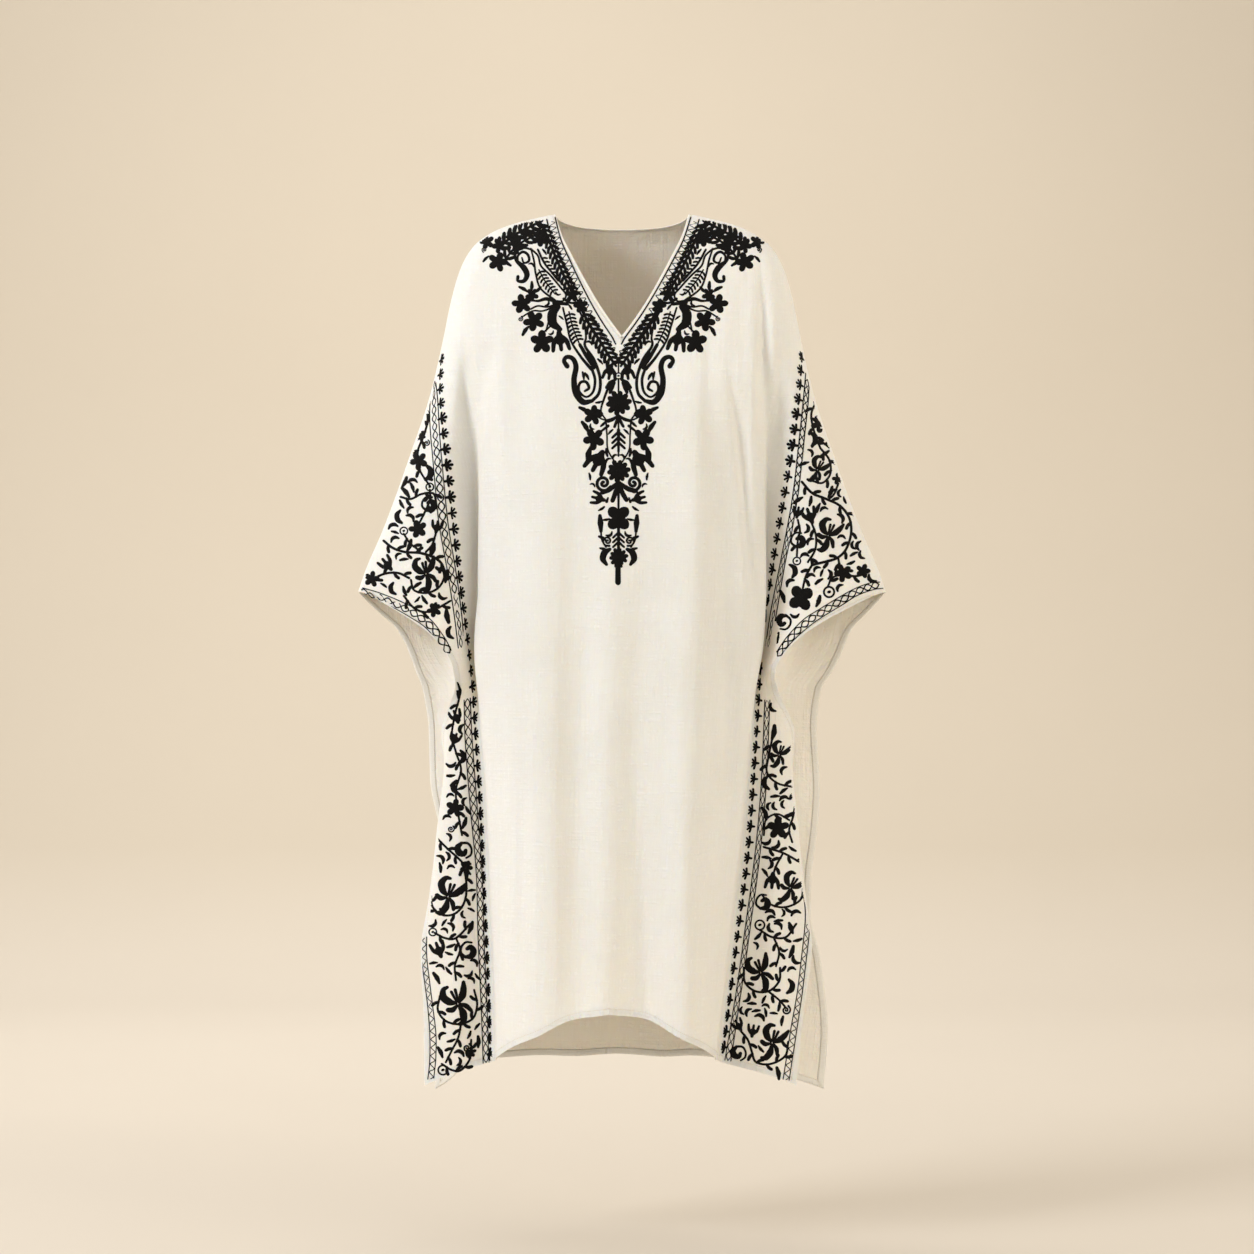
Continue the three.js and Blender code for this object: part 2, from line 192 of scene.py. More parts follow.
class SmoothTable:
    """Smooth curves through the columns of a short table, with no overshoot between its rows."""

    def __init__(self, columns: str, rows: Rows) -> None:
        """Stores the table.

        Args:
            columns: Column names, the first of which is the variable.
            rows: The table's rows.
        """
        names = columns.split()
        data = np.array(sorted(rows), dtype=float)
        self.knots = data[:, 0]
        self.values = {name: data[:, i] for i, name in enumerate(names) if i}
        self.slopes = {name: self._slopes(values) for name, values in self.values.items()}

    def _slopes(self, values: np.ndarray) -> np.ndarray:
        """Gives the slope at each knot by the harmonic mean of its neighbours."""
        step = np.diff(self.knots)
        rise = np.diff(values) / step
        slope = np.concatenate([[rise[0]], np.zeros(len(step) - 1), [rise[-1]]])
        for i in range(1, len(step)):
            if rise[i - 1] * rise[i] > 0:
                w1 = 2 * step[i] + step[i - 1]
                w2 = step[i] + 2 * step[i - 1]
                slope[i] = (w1 + w2) / (w1 / rise[i - 1] + w2 / rise[i])
        return slope

    def __call__(self, name: str, at: np.ndarray) -> np.ndarray:
        """Evaluates one column."""
        here = np.clip(np.asarray(at, dtype=float), self.knots[0], self.knots[-1])
        i = np.clip(np.searchsorted(self.knots, here, side="left") - 1, 0, len(self.knots) - 2)
        h = self.knots[i + 1] - self.knots[i]
        t = (here - self.knots[i]) / h
        v, m = self.values[name], self.slopes[name]
        return (
            (2 * t**3 - 3 * t**2 + 1) * v[i]
            + (t**3 - 2 * t**2 + t) * h * m[i]
            + (3 * t**2 - 2 * t**3) * v[i + 1]
            + (t**3 - t**2) * h * m[i + 1]
        )


# ------------------------------------------------------------------------------------------------
# The cut and the drape, in millimetres
# ------------------------------------------------------------------------------------------------

SLEEVE_END = -554.0
HEM_KNEE = -826.0
LONGEST = -1279.0
LIP, FOLD, EDGE = 4, 5, 8
ARC_SHARES = (0.0, 0.35, 0.62, 0.84)
ARC_ROUND = 2.6
ARC_DEPTH = 0.75
NECK_HALF_WIDTH = 103.0
BACK_NECK_DROP = 18.0
V_POINT = -194.0
UNDERARM = -698.0

SECTION_COLUMNS = "z mid_y lip_x lip_y fold_x fold_y crest_x crest_y turn_x turn_y"

V_NECK = SmoothTable(
    "z x", [(0, 103), (-34, 93), (-68, 77), (-103, 59), (-140, 38), (-170, 18), (V_POINT, 0)]
)
OVERARM_SEAM = SmoothTable(
    "z x y",
    [
        (0, 106, 5),
        (-12, 157, 5),
        (-26, 192, 5),
        (-47, 219, 5),
        (-76, 236, 4),
        (-122, 250, 3),
        (-190, 264, 1),
        (-266, 282, 0),
        (-345, 308, -3),
        (-431, 338, -8),
        (-554, 386, -20),
    ],
)
FRONT_SECTIONS = SmoothTable(
    SECTION_COLUMNS,
    [
        (0, 2, 60, 2, 80, 2, 92, 3, 100, 4),
        (-12, -18, 105, -18, 125, -14, 144, -6, 152, 0),
        (-26, -32, 120, -28, 150, -22, 174, -12, 186, -3),
        (-47, -48, 132, -42, 170, -32, 200, -20, 212, -8),
        (-96, -70, 145, -66, 192, -52, 222, -38, 237, -18),
        (-190, -96, 162, -88, 214, -66, 238, -50, 256, -25),
        (-240, -112, 180, -92, 219, -57, 243, -53, 268, -26),
        (-300, -128, 195, -82, 217, -45, 248, -60, 284, -27),
        (-440, -138, 205, -70, 213, -26, 256, -68, 332, -34),
        (-554, -141, 207, -70, 212, -20, 265, -78, 377, -44),
        (-568, -141, 207, -69, 212, -19, 262, -78, 316, -75),
        (-598, -142, 208, -66, 212, -17, 244, -72, 270, -81),
        (-619, -142, 208, -64, 212, -16, 236, -64, 252, -78),
        (-642, -142, 207, -61, 211, -15, 226, -50, 236, -67),
        (-669, -142, 204, -58, 208, -14, 218, -38, 226, -54),
        (-698, -143, 200, -56, 204, -13, 215, -28, 226, -38),
        (-760, -144, 194, -56, 200, -14, 228, -26, 248, -20),
        (-826, -146, 188, -58, 194, -15, 228, -28, 254, -14),
        (-920, -147, 181, -62, 188, -18, 230, -34, 264, -16),
        (-1013, -149, 174, -66, 181, -22, 230, -38, 268, -26),
        (-1075, -150, 169, -70, 176, -25, 228, -42, 264, -34),
        (-1279, -153, 154, -80, 162, -32, 214, -50, 246, -46),
    ],
)
FRONT_EDGE = SmoothTable(
    "z x y",
    [
        (-554, 386, -20),
        (-560, 366, -42),
        (-568, 350, -55),
        (-582, 324, -69),
        (-598, 296, -77),
        (-619, 267, -80),
        (-642, 246, -74),
        (-661, 236, -64),
        (-680, 233, -54),
        (-698, 236, -42),
        (-730, 250, -18),
        (-760, 259, -3),
        (-826, 256, 14),
        (-920, 267, 8),
        (-1013, 278, -6),
        (-1075, 286, -20),
        (-1177, 277, -28),
        (-1279, 271, -36),
    ],
)
BACK_SECTIONS = SmoothTable(
    SECTION_COLUMNS,
    [
        (0, 8, 60, 8, 80, 8, 92, 7.5, 100, 6.5),
        (-8, 42, 60, 40, 90, 32, 114, 20, 128, 11),
        (-18, 62, 80, 58, 118, 46, 146, 28, 162, 14),
        (-37, 78, 110, 72, 160, 50, 190, 30, 202, 14),
        (-96, 98, 145, 86, 192, 62, 222, 44, 237, 22),
        (-190, 109, 162, 92, 212, 64, 238, 48, 256, 24),
        (-300, 112, 194, 80, 217, 48, 248, 56, 284, 25),
        (-440, 114, 204, 68, 213, 32, 258, 60, 332, 20),
        (-554, 117, 207, 66, 212, 24, 275, 58, 377, 6),
        (-570, 118, 207, 65, 212, 22, 274, 57, 345, 26),
        (-605, 119, 208, 63, 212, 19, 268, 54, 314, 41),
        (-640, 120, 207, 60, 211, 12, 258, 48, 296, 46),
        (-669, 121, 204, 57, 208, 0, 250, 42, 286, 47),
        (-698, 122, 200, 54, 204, -11.5, 242, 34, 270, 46),
        (-826, 126, 194, 52, 194, -13.5, 234, 28, 264, 42),
        (-920, 129, 188, 50, 188, -16.5, 230, 22, 256, 36),
        (-1013, 132, 184, 46, 181, -20.5, 228, 18, 254, 30),
        (-1075, 134, 181, 44, 176, -23.5, 228, 14, 256, 26),
        (-1279, 140, 174, 40, 162, -30.5, 222, 4, 256, 16),
    ],
)
BACK_EDGE = SmoothTable(
    "z x y",
    [
        (-554, 386, -20),
        (-560, 382, -8),
        (-570, 374, 6),
        (-587, 358, 20),
        (-605, 339, 30),
        (-625, 328, 37),
        (-645, 320, 41),
        (-669, 310, 44),
        (-698, 296, 46),
        (-760, 288, 50),
        (-830, 289, 50),
        (-920, 278, 44),
        (-972, 273, 41),
        (-1027, 273, 37),
        (-1100, 283, 33),
        (-1204, 290, 27),
        (-1279, 287, 24),
    ],
)
DRIFT = SmoothTable(
    "z body front_edge back_edge",
    [
        (-560, 0, 0, 0),
        (-605, -3, -6, 3),
        (-640, -5, -9, 5),
        (-670, -7, -11, 3),
        (-700, -8, -8, 0),
        (-830, -9, -5, 4),
        (-920, -11, -6, 10),
        (-1027, -15, -7, 6),
        (-1100, -17, -9, 11),
        (-1204, -22, -14, 14),
        (-1279, -26, -17, 11),
    ],
)
HEMS = SmoothTable(
    "station front back",
    [
        (0, -1158, -1252),
        (1, -1168, -1252),
        (2, -1190, -1251),
        (3, -1208, -1249),
        (4, -1228, -1245),
        (5, -1240, -1240),
        (6, -1252, -1258),
        (8, -1275, -1288),
    ],
)

# The largest folds, which the CAD model has too: x_top x_hem z_start z_full half_width height.
FRONT_FOLDS = (
    (-110, -118, -130, -680, 36, 15),
    (-56, -58, -220, -760, 27, -12),
    (-14, -26, -360, -860, 24, 7),
    (42, 22, -360, -860, 32, -19),
    (104, 100, -60, -600, 30, 16),
    (150, 148, -60, -560, 22, -10),
)
BACK_FOLDS = (
    (-126, -132, -130, -760, 30, 12),
    (-66, -70, -200, -860, 28, -14),
    (2, -4, -160, -820, 34, 15),
    (66, 58, -260, -900, 28, -14),
    (122, 112, -120, -800, 30, 12),
)

# How a fold wanders sideways and swells on its way down: amount, length in millimetres, phase.
FOLD_WANDER = (5.0, 170, 23)
FOLD_SWELL = (0.28, 135, 11)

# How a crease bends (share of its half width, waves), spreads (start, gain), and sets in and fades out
# along its length.
CREASE_BEND = (0.12, 7.0)
CREASE_SPREAD = (0.75, 0.5)
CREASE_SET_IN = (0.0, 0.35)
CREASE_FADE = (0.72, 1.05)

# A crease at least as deep as LAP_HEIGHT is a lap: the body hangs over the fall of the sleeve, with a
# steep wall on its side.
LAP_HEIGHT = -7.5
LAP_STEEPNESS = 2.4

# Smaller creases, each a soft ridge (+) or trough (-) along a line: x0 z0 x1 z1 half_width height.
FRONT_CREASES = (
    (-233, -170, -221, -460, 9, -6.0),
    (-214, -140, -204, -460, 10, 5.0),
    (-205, -210, -213, -640, 12, -9.0),
    (-176, -110, -166, -480, 13, 3.4),
    (-150, -60, -140, -360, 15, -1.6),
    (128, -120, 122, -420, 9, -2.6),
    (146, -90, 150, -420, 12, 2.0),
    (150, -200, 202, -660, 12, -9.0),
    (187, -70, 191, -540, 10, 6.0),
    (201, -40, 203, -500, 10, -9.0),
    (219, -80, 215, -540, 10, 6.0),
    (120, -430, 132, -900, 9, -3.0),
    (-70, -300, -74, -660, 12, -1.8),
    (-92, -520, -96, -1150, 9, 1.6),
    (-132, -520, -140, -1150, 10, -1.8),
    (-40, -640, -44, -1120, 8, -1.4),
    (6, -560, -4, -1100, 9, 1.6),
    (64, -480, 58, -1120, 8, -1.6),
    (84, -420, 82, -1150, 9, 1.8),
    (138, -620, 134, -1190, 9, 2.0),
    (-160, -560, -158, -1190, 9, 2.0),
    (-250, -300, -300, -560, 14, 2.6),
    (-232, -330, -262, -600, 9, -3.0),
    (250, -290, 312, -560, 14, 2.8),
    (234, -320, 268, -600, 9, -3.2),
    (-228, -780, -236, -1230, 12, 3.0),
    (226, -800, 218, -1230, 12, 3.0),
)
BACK_CREASES = (
    (-60, -60, -120, -420, 20, -2.6),
    (60, -60, 124, -420, 20, -2.6),
    (-20, -120, -40, -700, 18, 2.2),
    (34, -160, 30, -760, 16, -2.0),
    (-160, -80, -200, -420, 13, 2.6),
    (164, -80, 204, -420, 13, 2.6),
    (-96, -620, -100, -1230, 12, 2.8),
    (96, -560, 92, -1230, 12, 2.4),
    (36, -760, 30, -1240, 10, 2.6),
    (-34, -820, -36, -1240, 10, -2.2),
    (-262, -320, -318, -600, 13, 3.0),
    (262, -320, 318, -600, 13, 3.0),
    (-250, -780, -252, -1240, 12, -3.0),
    (250, -780, 252, -1240, 12, -3.0),
)


class Side(Enum):
    """The two panels, by the way they face along Y."""

    FRONT = -1
    BACK = 1


@dataclass
class PanelCut:
    """The cut and drape of one panel, in millimetres.

    Attributes:
        side: Which panel it is.
        sections: Level sections by height.
        edge: Free edge below the sleeve end, by height.
        folds: Large folds.
        creases: Small creases.
        hem_column: Column of the hem table.
        drift_column: Column of the drift table for the free edge.
        neck_bottom: Lowest height of the neck edge.
    """

    side: Side
    sections: SmoothTable
    edge: SmoothTable
    folds: Rows
    creases: Rows
    hem_column: str
    drift_column: str
    neck_bottom: float

    def neck_half_width(self, z: np.ndarray) -> np.ndarray:
        """Gives the half width of the neck opening at a height."""
        if self.side is Side.FRONT:
            return V_NECK("x", z)
        return NECK_HALF_WIDTH * np.sqrt(np.clip(1 - (np.asarray(z) / BACK_NECK_DROP) ** 2, 0, 1))

    def stations(self, z: np.ndarray) -> np.ndarray:
        """Builds the control points of half a section at each height.

        Args:
            z: Heights, one per row.

        Returns:
            Array of rows x 11 control points x (x, y).
        """
        get = self.sections
        lip_x, lip_y, mid_y = get("lip_x", z), get("lip_y", z), get("mid_y", z)
        points = []
        for share in ARC_SHARES:
            rise = (1 - share**ARC_ROUND) ** ARC_DEPTH
            points.append(np.stack([share * lip_x, lip_y + (mid_y - lip_y) * rise], -1))
        points.append(np.stack([lip_x, lip_y], -1))
        for name in ("fold", "crest", "turn"):
            points.append(np.stack([get(name + "_x", z), get(name + "_y", z)], -1))
        on_seam = (z >= SLEEVE_END)[:, None]
        seam = np.stack([OVERARM_SEAM("x", z), OVERARM_SEAM("y", z) + self.side.value * 0.15], -1)
        free = np.stack([self.edge("x", z), self.edge("y", z)], -1)
        edge = np.where(on_seam, seam, free)
        turn = points[-1]
        past = np.where(on_seam, np.stack([turn[:, 0], 2 * edge[:, 1] - turn[:, 1]], -1), 2 * edge - turn)
        first = points[1] * np.array([-1.0, 1.0])
        return np.stack([first] + points + [edge, past], 1)

    def section(self, station: np.ndarray, z: np.ndarray) -> np.ndarray:
        """Evaluates half a section, outward positive, without folds or drift.

        Args:
            station: Rows x columns of stations.
            z: Heights, one per row.

        Returns:
            Rows x columns x (x, y).
        """
        control = self.stations(z)
        count = control.shape[1]
        at = np.clip(station + 1, 0, count - 1 - 1e-9)
        i = at.astype(int)
        t = (at - i)[..., None]
        row = np.arange(len(z))[:, None]

        def pick(k: int) -> np.ndarray:
            """Takes the control point k places along, reflected past the last one."""
            j = i + k
            inside = control[row, np.clip(j, 0, count - 1)]
            before = 2 * control[row, 0] - control[row, 1]
            after = 2 * control[row, count - 1] - control[row, count - 2]
            inside = np.where((j < 0)[..., None], before, inside)
            return np.where((j > count - 1)[..., None], after, inside)

        p0, p1, p2, p3 = pick(-1), pick(0), pick(1), pick(2)
        pairs = ((p0, p1), (p1, p2), (p2, p3))
        span = [np.sqrt(np.linalg.norm(b - a, axis=-1, keepdims=True)) for a, b in pairs]
        d1 = np.where(span[1] < 1e-4, 1.0, span[1])
        d0 = np.where(span[0] < 1e-4, d1, span[0])
        d2 = np.where(span[2] < 1e-4, d1, span[2])
        m1 = ((p1 - p0) / d0 - (p2 - p0) / (d0 + d1) + (p2 - p1) / d1) * d1
        m2 = ((p2 - p1) / d1 - (p3 - p1) / (d1 + d2) + (p3 - p2) / d2) * d1
        c2 = -3 * p1 + 3 * p2 - 2 * m1 - m2
        c3 = 2 * p1 - 2 * p2 + m1 + m2
        return p1 + m1 * t + c2 * t**2 + c3 * t**3

    def fold_height(self, x: np.ndarray, z: np.ndarray) -> np.ndarray:
        """Adds up the large folds at signed x and height z."""
        total = np.zeros(np.broadcast(x, z).shape)
        wander, wander_length, wander_phase = FOLD_WANDER
        swell_share, swell_length, swell_phase = FOLD_SWELL
        for x_top, x_hem, z_start, z_full, half_width, height in self.folds:
            down = smoothstep(-z, -z_start, -z_full)
            sideways = wander * np.sin(z / wander_length + x_top / wander_phase)
            middle = x_top + (x_hem - x_top) * down + sideways
            swell = 1 + swell_share * np.sin(z / swell_length + x_top / swell_phase)
            total += height * down * swell * np.exp(-(((x - middle) / half_width) ** 2))
        return total

    def crease_height(self, x: np.ndarray, z: np.ndarray) -> np.ndarray:
        """Adds up the small creases at signed x and height z."""
        total = np.zeros(np.broadcast(x, z).shape)
        for x0, z0, x1, z1, half_width, height in self.creases:
            length = math.hypot(x1 - x0, z1 - z0)
            ux, uz = (x1 - x0) / length, (z1 - z0) / length
            along = ((x - x0) * ux + (z - z0) * uz) / length
            bend = CREASE_BEND[0] * half_width * np.sin(along * CREASE_BEND[1] + x0)
            spread = half_width * (CREASE_SPREAD[0] + CREASE_SPREAD[1] * np.clip(along, 0, 1))
            across = ((x - x0) * uz - (z - z0) * ux + bend) / spread
            reach = smoothstep(along, *CREASE_SET_IN) * (1 - smoothstep(along, *CREASE_FADE))
            if height <= LAP_HEIGHT:
                across = np.where(across * x0 > 0, LAP_STEEPNESS * across, across)
            total += height * reach * np.exp(-(across**2))
        return total

    def point(self, side: int, station: np.ndarray, z: np.ndarray) -> np.ndarray:
        """Gives points of the panel in millimetres.

        Args:
            side: -1 or 1, the half of the panel.
            station: Rows x columns of stations.
            z: Rows x columns of heights.

        Returns:
            Rows x columns x (x, y, z).
        """
        flat = self.section(station.reshape(-1, 1), z.reshape(-1)).reshape(*station.shape, 2)
        to_edge = smoothstep(station, FOLD, EDGE)
        drift = DRIFT("body", z) * (1 - to_edge) + DRIFT(self.drift_column, z) * to_edge
        x = side * flat[..., 0] + drift
        on_body = 1 - smoothstep(station, LIP - 0.9, LIP + 0.7)
        off_seam = np.where(z >= SLEEVE_END, 1 - smoothstep(station, EDGE - 0.6, EDGE), 1.0)
        at_slit = np.where(z <= UNDERARM, smoothstep(np.abs(station - FOLD), 0.0, 0.5), 1.0)
        lift = on_body * self.fold_height(x, z) + off_seam * at_slit * self.crease_height(x, z)
        return np.stack([x, flat[..., 1] + self.side.value * lift, z * np.ones_like(x)], -1)

    def neck_station(self, z: np.ndarray) -> np.ndarray:
        """Finds the station at which the neck opening cuts each level section."""
        low, high = np.zeros(len(z)), np.full(len(z), float(EDGE))
        target = self.neck_half_width(z)
        for _ in range(34):
            middle = (low + high) / 2
            below = self.section(middle[:, None], z)[:, 0, 0] < target
            low, high = np.where(below, middle, low), np.where(below, high, middle)
        return np.where(z <= self.neck_bottom, 0.0, (low + high) / 2)

    def row_height(self, row: np.ndarray, station: np.ndarray) -> np.ndarray:
        """Bends the rows below the knee, so that the last one lies along the hem."""
        share = (row - HEM_KNEE) / (LONGEST - HEM_KNEE)
        return np.where(row >= HEM_KNEE, row, HEM_KNEE + (HEMS(self.hem_column, station) - HEM_KNEE) * share)


FRONT = PanelCut(
    Side.FRONT, FRONT_SECTIONS, FRONT_EDGE, FRONT_FOLDS, FRONT_CREASES, "front", "front_edge", V_POINT
)
BACK = PanelCut(
    Side.BACK, BACK_SECTIONS, BACK_EDGE, BACK_FOLDS, BACK_CREASES, "back", "back_edge", -BACK_NECK_DROP
)


# ------------------------------------------------------------------------------------------------
# Finishes
# ------------------------------------------------------------------------------------------------


def new_material(name: str) -> Tuple[bpy.types.Material, bpy.types.NodeTree, bpy.types.Node]:
    """Makes a node material and returns it with its tree and its Principled shader."""
    material = bpy.data.materials.new(name)
    material.use_nodes = True
    tree = material.node_tree
    return material, tree, tree.nodes["Principled BSDF"]


@dataclass(frozen=True)
class SlubCotton:
    """Plain-woven slub cotton: uneven hand-spun yarn gives short thick threads both ways and a matt face.

    Attributes:
        name: Material name.
        base: Colour of the open ground, sRGB.
        thick: Colour where a slub lies, sRGB.
        shade: Painted shade in the hollows between yarns, sRGB.
        yarn_mm: Spacing of the yarns. The real spacing is 0.5 mm; it is drawn at 1.5 mm so that it shows.
        slub_length_mm: Length of a thick place in a yarn.
        crepe_mm: Size of the soft puckers of washed cotton.
        crinkle_mm: Width of the fine upright crinkles in which the washed cloth falls.
        through: How much light comes through the thin cloth.
        roughness: Roughness of the cloth.
    """

    name: str = "woven_slub_cotton"
    base: str = "eeece7"
    thick: str = "f1efea"
    shade: str = "e8e4da"
    yarn_mm: float = 1.5
    slub_length_mm: float = 26.0
    crepe_mm: float = 13.0
    crinkle_mm: float = 11.0
    through: float = 0.6
    roughness: float = 0.86

    def build(self) -> bpy.types.Material:
        """Builds the material from the cloth's own UV map, which is in metres along the weave."""
        material, tree, shader = new_material(self.name)
        uv = add_node(tree, "ShaderNodeUVMap", {"uv_map": "cloth"}).outputs["UV"]

        def streaks(
            across: float, along: float, turned: bool, detail: float, offset: float
        ) -> bpy.types.NodeSocket:
            """Gives noise drawn out along one thread direction, in repeats per metre."""
            scale = (across, along, 1.0) if turned else (along, across, 1.0)
            shift = (offset, offset, offset)
            mapped = add_node(tree, "ShaderNodeMapping", Vector=uv, Scale=scale, Location=shift)
            noise = add_node(tree, "ShaderNodeTexNoise", Vector=mapped.outputs[0], Scale=1.0, Detail=detail)
            return noise.outputs[0]

        per_yarn = 1 / (self.yarn_mm * MM)
        per_slub = 1 / (self.slub_length_mm * MM)
        weft = streaks(per_yarn, per_slub, False, 2.0, 3.1)
        warp = streaks(per_yarn, per_slub * 0.8, True, 2.0, 17.7)
        bold_weft = streaks(per_yarn * 0.42, per_slub * 0.55, False, 1.0, 41.3)
        bold_warp = streaks(per_yarn * 0.42, per_slub * 0.5, True, 1.0, 57.9)
        both = add_node(tree, "ShaderNodeMath", {"operation": "ADD"}, i0=weft, i1=warp)
        bold = add_node(tree, "ShaderNodeMath", {"operation": "ADD"}, i0=bold_weft, i1=bold_warp)
        ramp = add_node(
            tree, "ShaderNodeMapRange", Value=both.outputs[0], From_Min=0.72, From_Max=1.28,
            To_Min=0.0, To_Max=1.0
        )
        slub = add_node(
            tree, "ShaderNodeMapRange", Value=bold.outputs[0], From_Min=1.08, From_Max=1.32,
            To_Min=0.0, To_Max=1.0
        )
        cloud = add_node(tree, "ShaderNodeTexNoise", Vector=uv, Scale=9.0, Detail=2.0)
        # Painted shade: where the thread noise is low, in the hollows between yarns, the colour turns to the
        # shade colour; soft keeps about a third of it.
        tone = add_node(
            tree, "ShaderNodeMix", {"data_type": "RGBA"}, Factor=ramp.outputs[0], i6=linear(self.shade),
            i7=linear(self.base)
        )
        soft = add_node(
            tree, "ShaderNodeMix", {"data_type": "RGBA"}, Factor=0.62, i6=tone.outputs[2],
            i7=linear(self.base)
        )
        lit = add_node(
            tree, "ShaderNodeMix", {"data_type": "RGBA"}, Factor=slub.outputs[0], i6=soft.outputs[2],
            i7=linear(self.thick)
        )
        wash = add_node(
            tree, "ShaderNodeMapRange", Value=cloud.outputs[0], From_Min=0.35, From_Max=0.65,
            To_Min=0.965, To_Max=1.0
        )
        tint = add_node(
            tree, "ShaderNodeMix", {"data_type": "RGBA", "blend_type": "MULTIPLY"}, Factor=1.0,
            i6=lit.outputs[2], i7=wash.outputs[0]
        )
        tree.links.new(tint.outputs[2], shader.inputs["Base Color"])
        crepe = add_node(tree, "ShaderNodeTexNoise", Vector=uv, Scale=1 / (self.crepe_mm * MM), Detail=2.0)
        crinkle = streaks(1 / (self.crinkle_mm * MM), 1 / (self.crinkle_mm * 14 * MM), True, 2.0, 83.1)
        edge = add_node(tree, "ShaderNodeUVMap", {"uv_map": "edge"}).outputs["UV"]
        edge_x = add_node(tree, "ShaderNodeSeparateXYZ", i0=edge).outputs[0]
        near = add_node(
            tree, "ShaderNodeMapRange", Value=edge_x, From_Min=0.006, From_Max=0.022, To_Min=1.0,
            To_Max=0.0
        )
        pucker = add_node(
            tree, "ShaderNodeMath", {"operation": "MULTIPLY_ADD"}, i0=near.outputs[0], i1=2.2, i2=1.0
        )
        soft_relief = add_node(
            tree, "ShaderNodeMath", {"operation": "MULTIPLY"}, i0=crepe.outputs[0], i1=pucker.outputs[0]
        )
        threads = add_node(tree, "ShaderNodeBump", Strength=0.32, Distance=0.0007, Height=both.outputs[0])
        slubs = add_node(
            tree, "ShaderNodeBump", Strength=0.5, Distance=0.0008, Height=slub.outputs[0],
            Normal=threads.outputs[0]
        )
        puckers = add_node(
            tree, "ShaderNodeBump", Strength=0.5, Distance=0.0022, Height=soft_relief.outputs[0],
            Normal=slubs.outputs[0]
        )
        falls = add_node(
            tree, "ShaderNodeBump", Strength=0.55, Distance=0.0024, Height=crinkle, Normal=puckers.outputs[0]
        )
        tree.links.new(falls.outputs[0], shader.inputs["Normal"])
        shader.inputs["Subsurface Weight"].default_value = self.through
        shader.inputs["Subsurface Radius"].default_value = (1.0, 0.72, 0.45)
        shader.inputs["Subsurface Scale"].default_value = 0.003
        shader.inputs["Roughness"].default_value = self.roughness
        shader.inputs["Specular IOR Level"].default_value = 0.25
        shader.inputs["Sheen Weight"].default_value = 0.12
        shader.inputs["Sheen Roughness"].default_value = 0.6
        return material


# A lighter copy of the cotton for the turned-in hem strips: painted light, to offset the shade that the strip
# gets on the inside of the cloth.
BRIGHTENED_HEM_COTTON = SlubCotton(
    name="hem_cotton_painted_lighter", base="f5f1e6", thick="f7f4ec", shade="efe9dc", through=0.25
)


@dataclass(frozen=True)
class ChainStitchThread:
    """Black stranded cotton worked in chain stitch: small raised loops, dull with a faint glint, partly a
    painted highlight on the loops' crowns.

    Attributes:
        name: Material name.
        dark: Colour of the thread, sRGB.
        light: Painted highlight on the crowns of the loops, sRGB.
        loop_mm: Length of one stitch. The real one is 1.2 mm; it is drawn at 2 mm so that it shows.
    """

    name: str = "black_chain_stitch_cotton"
    dark: str = "030303"
    light: str = "0e0d0c"
    loop_mm: float = 2.0

    def build(self) -> bpy.types.Material:
        """Builds the material from the stitch UV map: metres along the line, 0 to 1 across it."""
        material, tree, shader = new_material(self.name)
        uv = add_node(tree, "ShaderNodeUVMap", {"uv_map": "stitch"}).outputs["UV"]
        parts = add_node(tree, "ShaderNodeSeparateXYZ", i0=uv)
        turns = add_node(
            tree, "ShaderNodeMath", {"operation": "MULTIPLY"}, i0=parts.outputs[0],
            i1=2 * math.pi / (self.loop_mm * MM)
        )
        lean = add_node(
            tree, "ShaderNodeMath", {"operation": "MULTIPLY_ADD"}, i0=parts.outputs[1], i1=5.0,
            i2=turns.outputs[0]
        )
        wave = add_node(tree, "ShaderNodeMath", {"operation": "SINE"}, i0=lean.outputs[0])
        crown = add_node(
            tree, "ShaderNodeMapRange", Value=wave.outputs[0], From_Min=-1.0, From_Max=1.0,
            To_Min=0.0, To_Max=1.0
        )
        # Painted highlight: the crowns of the loops are coloured lighter than the rest of the thread.
        colour = add_node(
            tree, "ShaderNodeMix", {"data_type": "RGBA"}, Factor=crown.outputs[0], i6=linear(self.dark),
            i7=linear(self.light)
        )
        tree.links.new(colour.outputs[2], shader.inputs["Base Color"])
        bump = add_node(tree, "ShaderNodeBump", Strength=0.6, Distance=0.0006, Height=crown.outputs[0])
        tree.links.new(bump.outputs[0], shader.inputs["Normal"])
        shader.inputs["Roughness"].default_value = 0.72
        shader.inputs["Specular IOR Level"].default_value = 0.12
        return material


@dataclass(frozen=True)
class SewingThread:
    """Ivory mercerised sewing cotton: a touch smoother and warmer than the cloth.

    Attributes:
        name: Material name.
        light: Painted highlight on the crown of the twist, sRGB.
        dark: Painted shade in the twist, sRGB.
    """

    name: str = "ivory_sewing_cotton"
    light: str = "efe5d2"
    dark: str = "cbbb9d"

    def build(self) -> bpy.types.Material:
        """Builds the material, with the twist's painted highlight and shade laid on by noise in object
        coordinates.
        """
        material, tree, shader = new_material(self.name)
        place = add_node(tree, "ShaderNodeTexCoord").outputs["Object"]
        twist = add_node(tree, "ShaderNodeTexNoise", Vector=place, Scale=900.0, Detail=1.0)
        # Painted highlight and shade of the twist: noise mixes the light and dark colours.
        colour = add_node(
            tree, "ShaderNodeMix", {"data_type": "RGBA"}, Factor=twist.outputs[0], i6=linear(self.dark),
            i7=linear(self.light)
        )
        tree.links.new(colour.outputs[2], shader.inputs["Base Color"])
        shader.inputs["Roughness"].default_value = 0.7
        return material


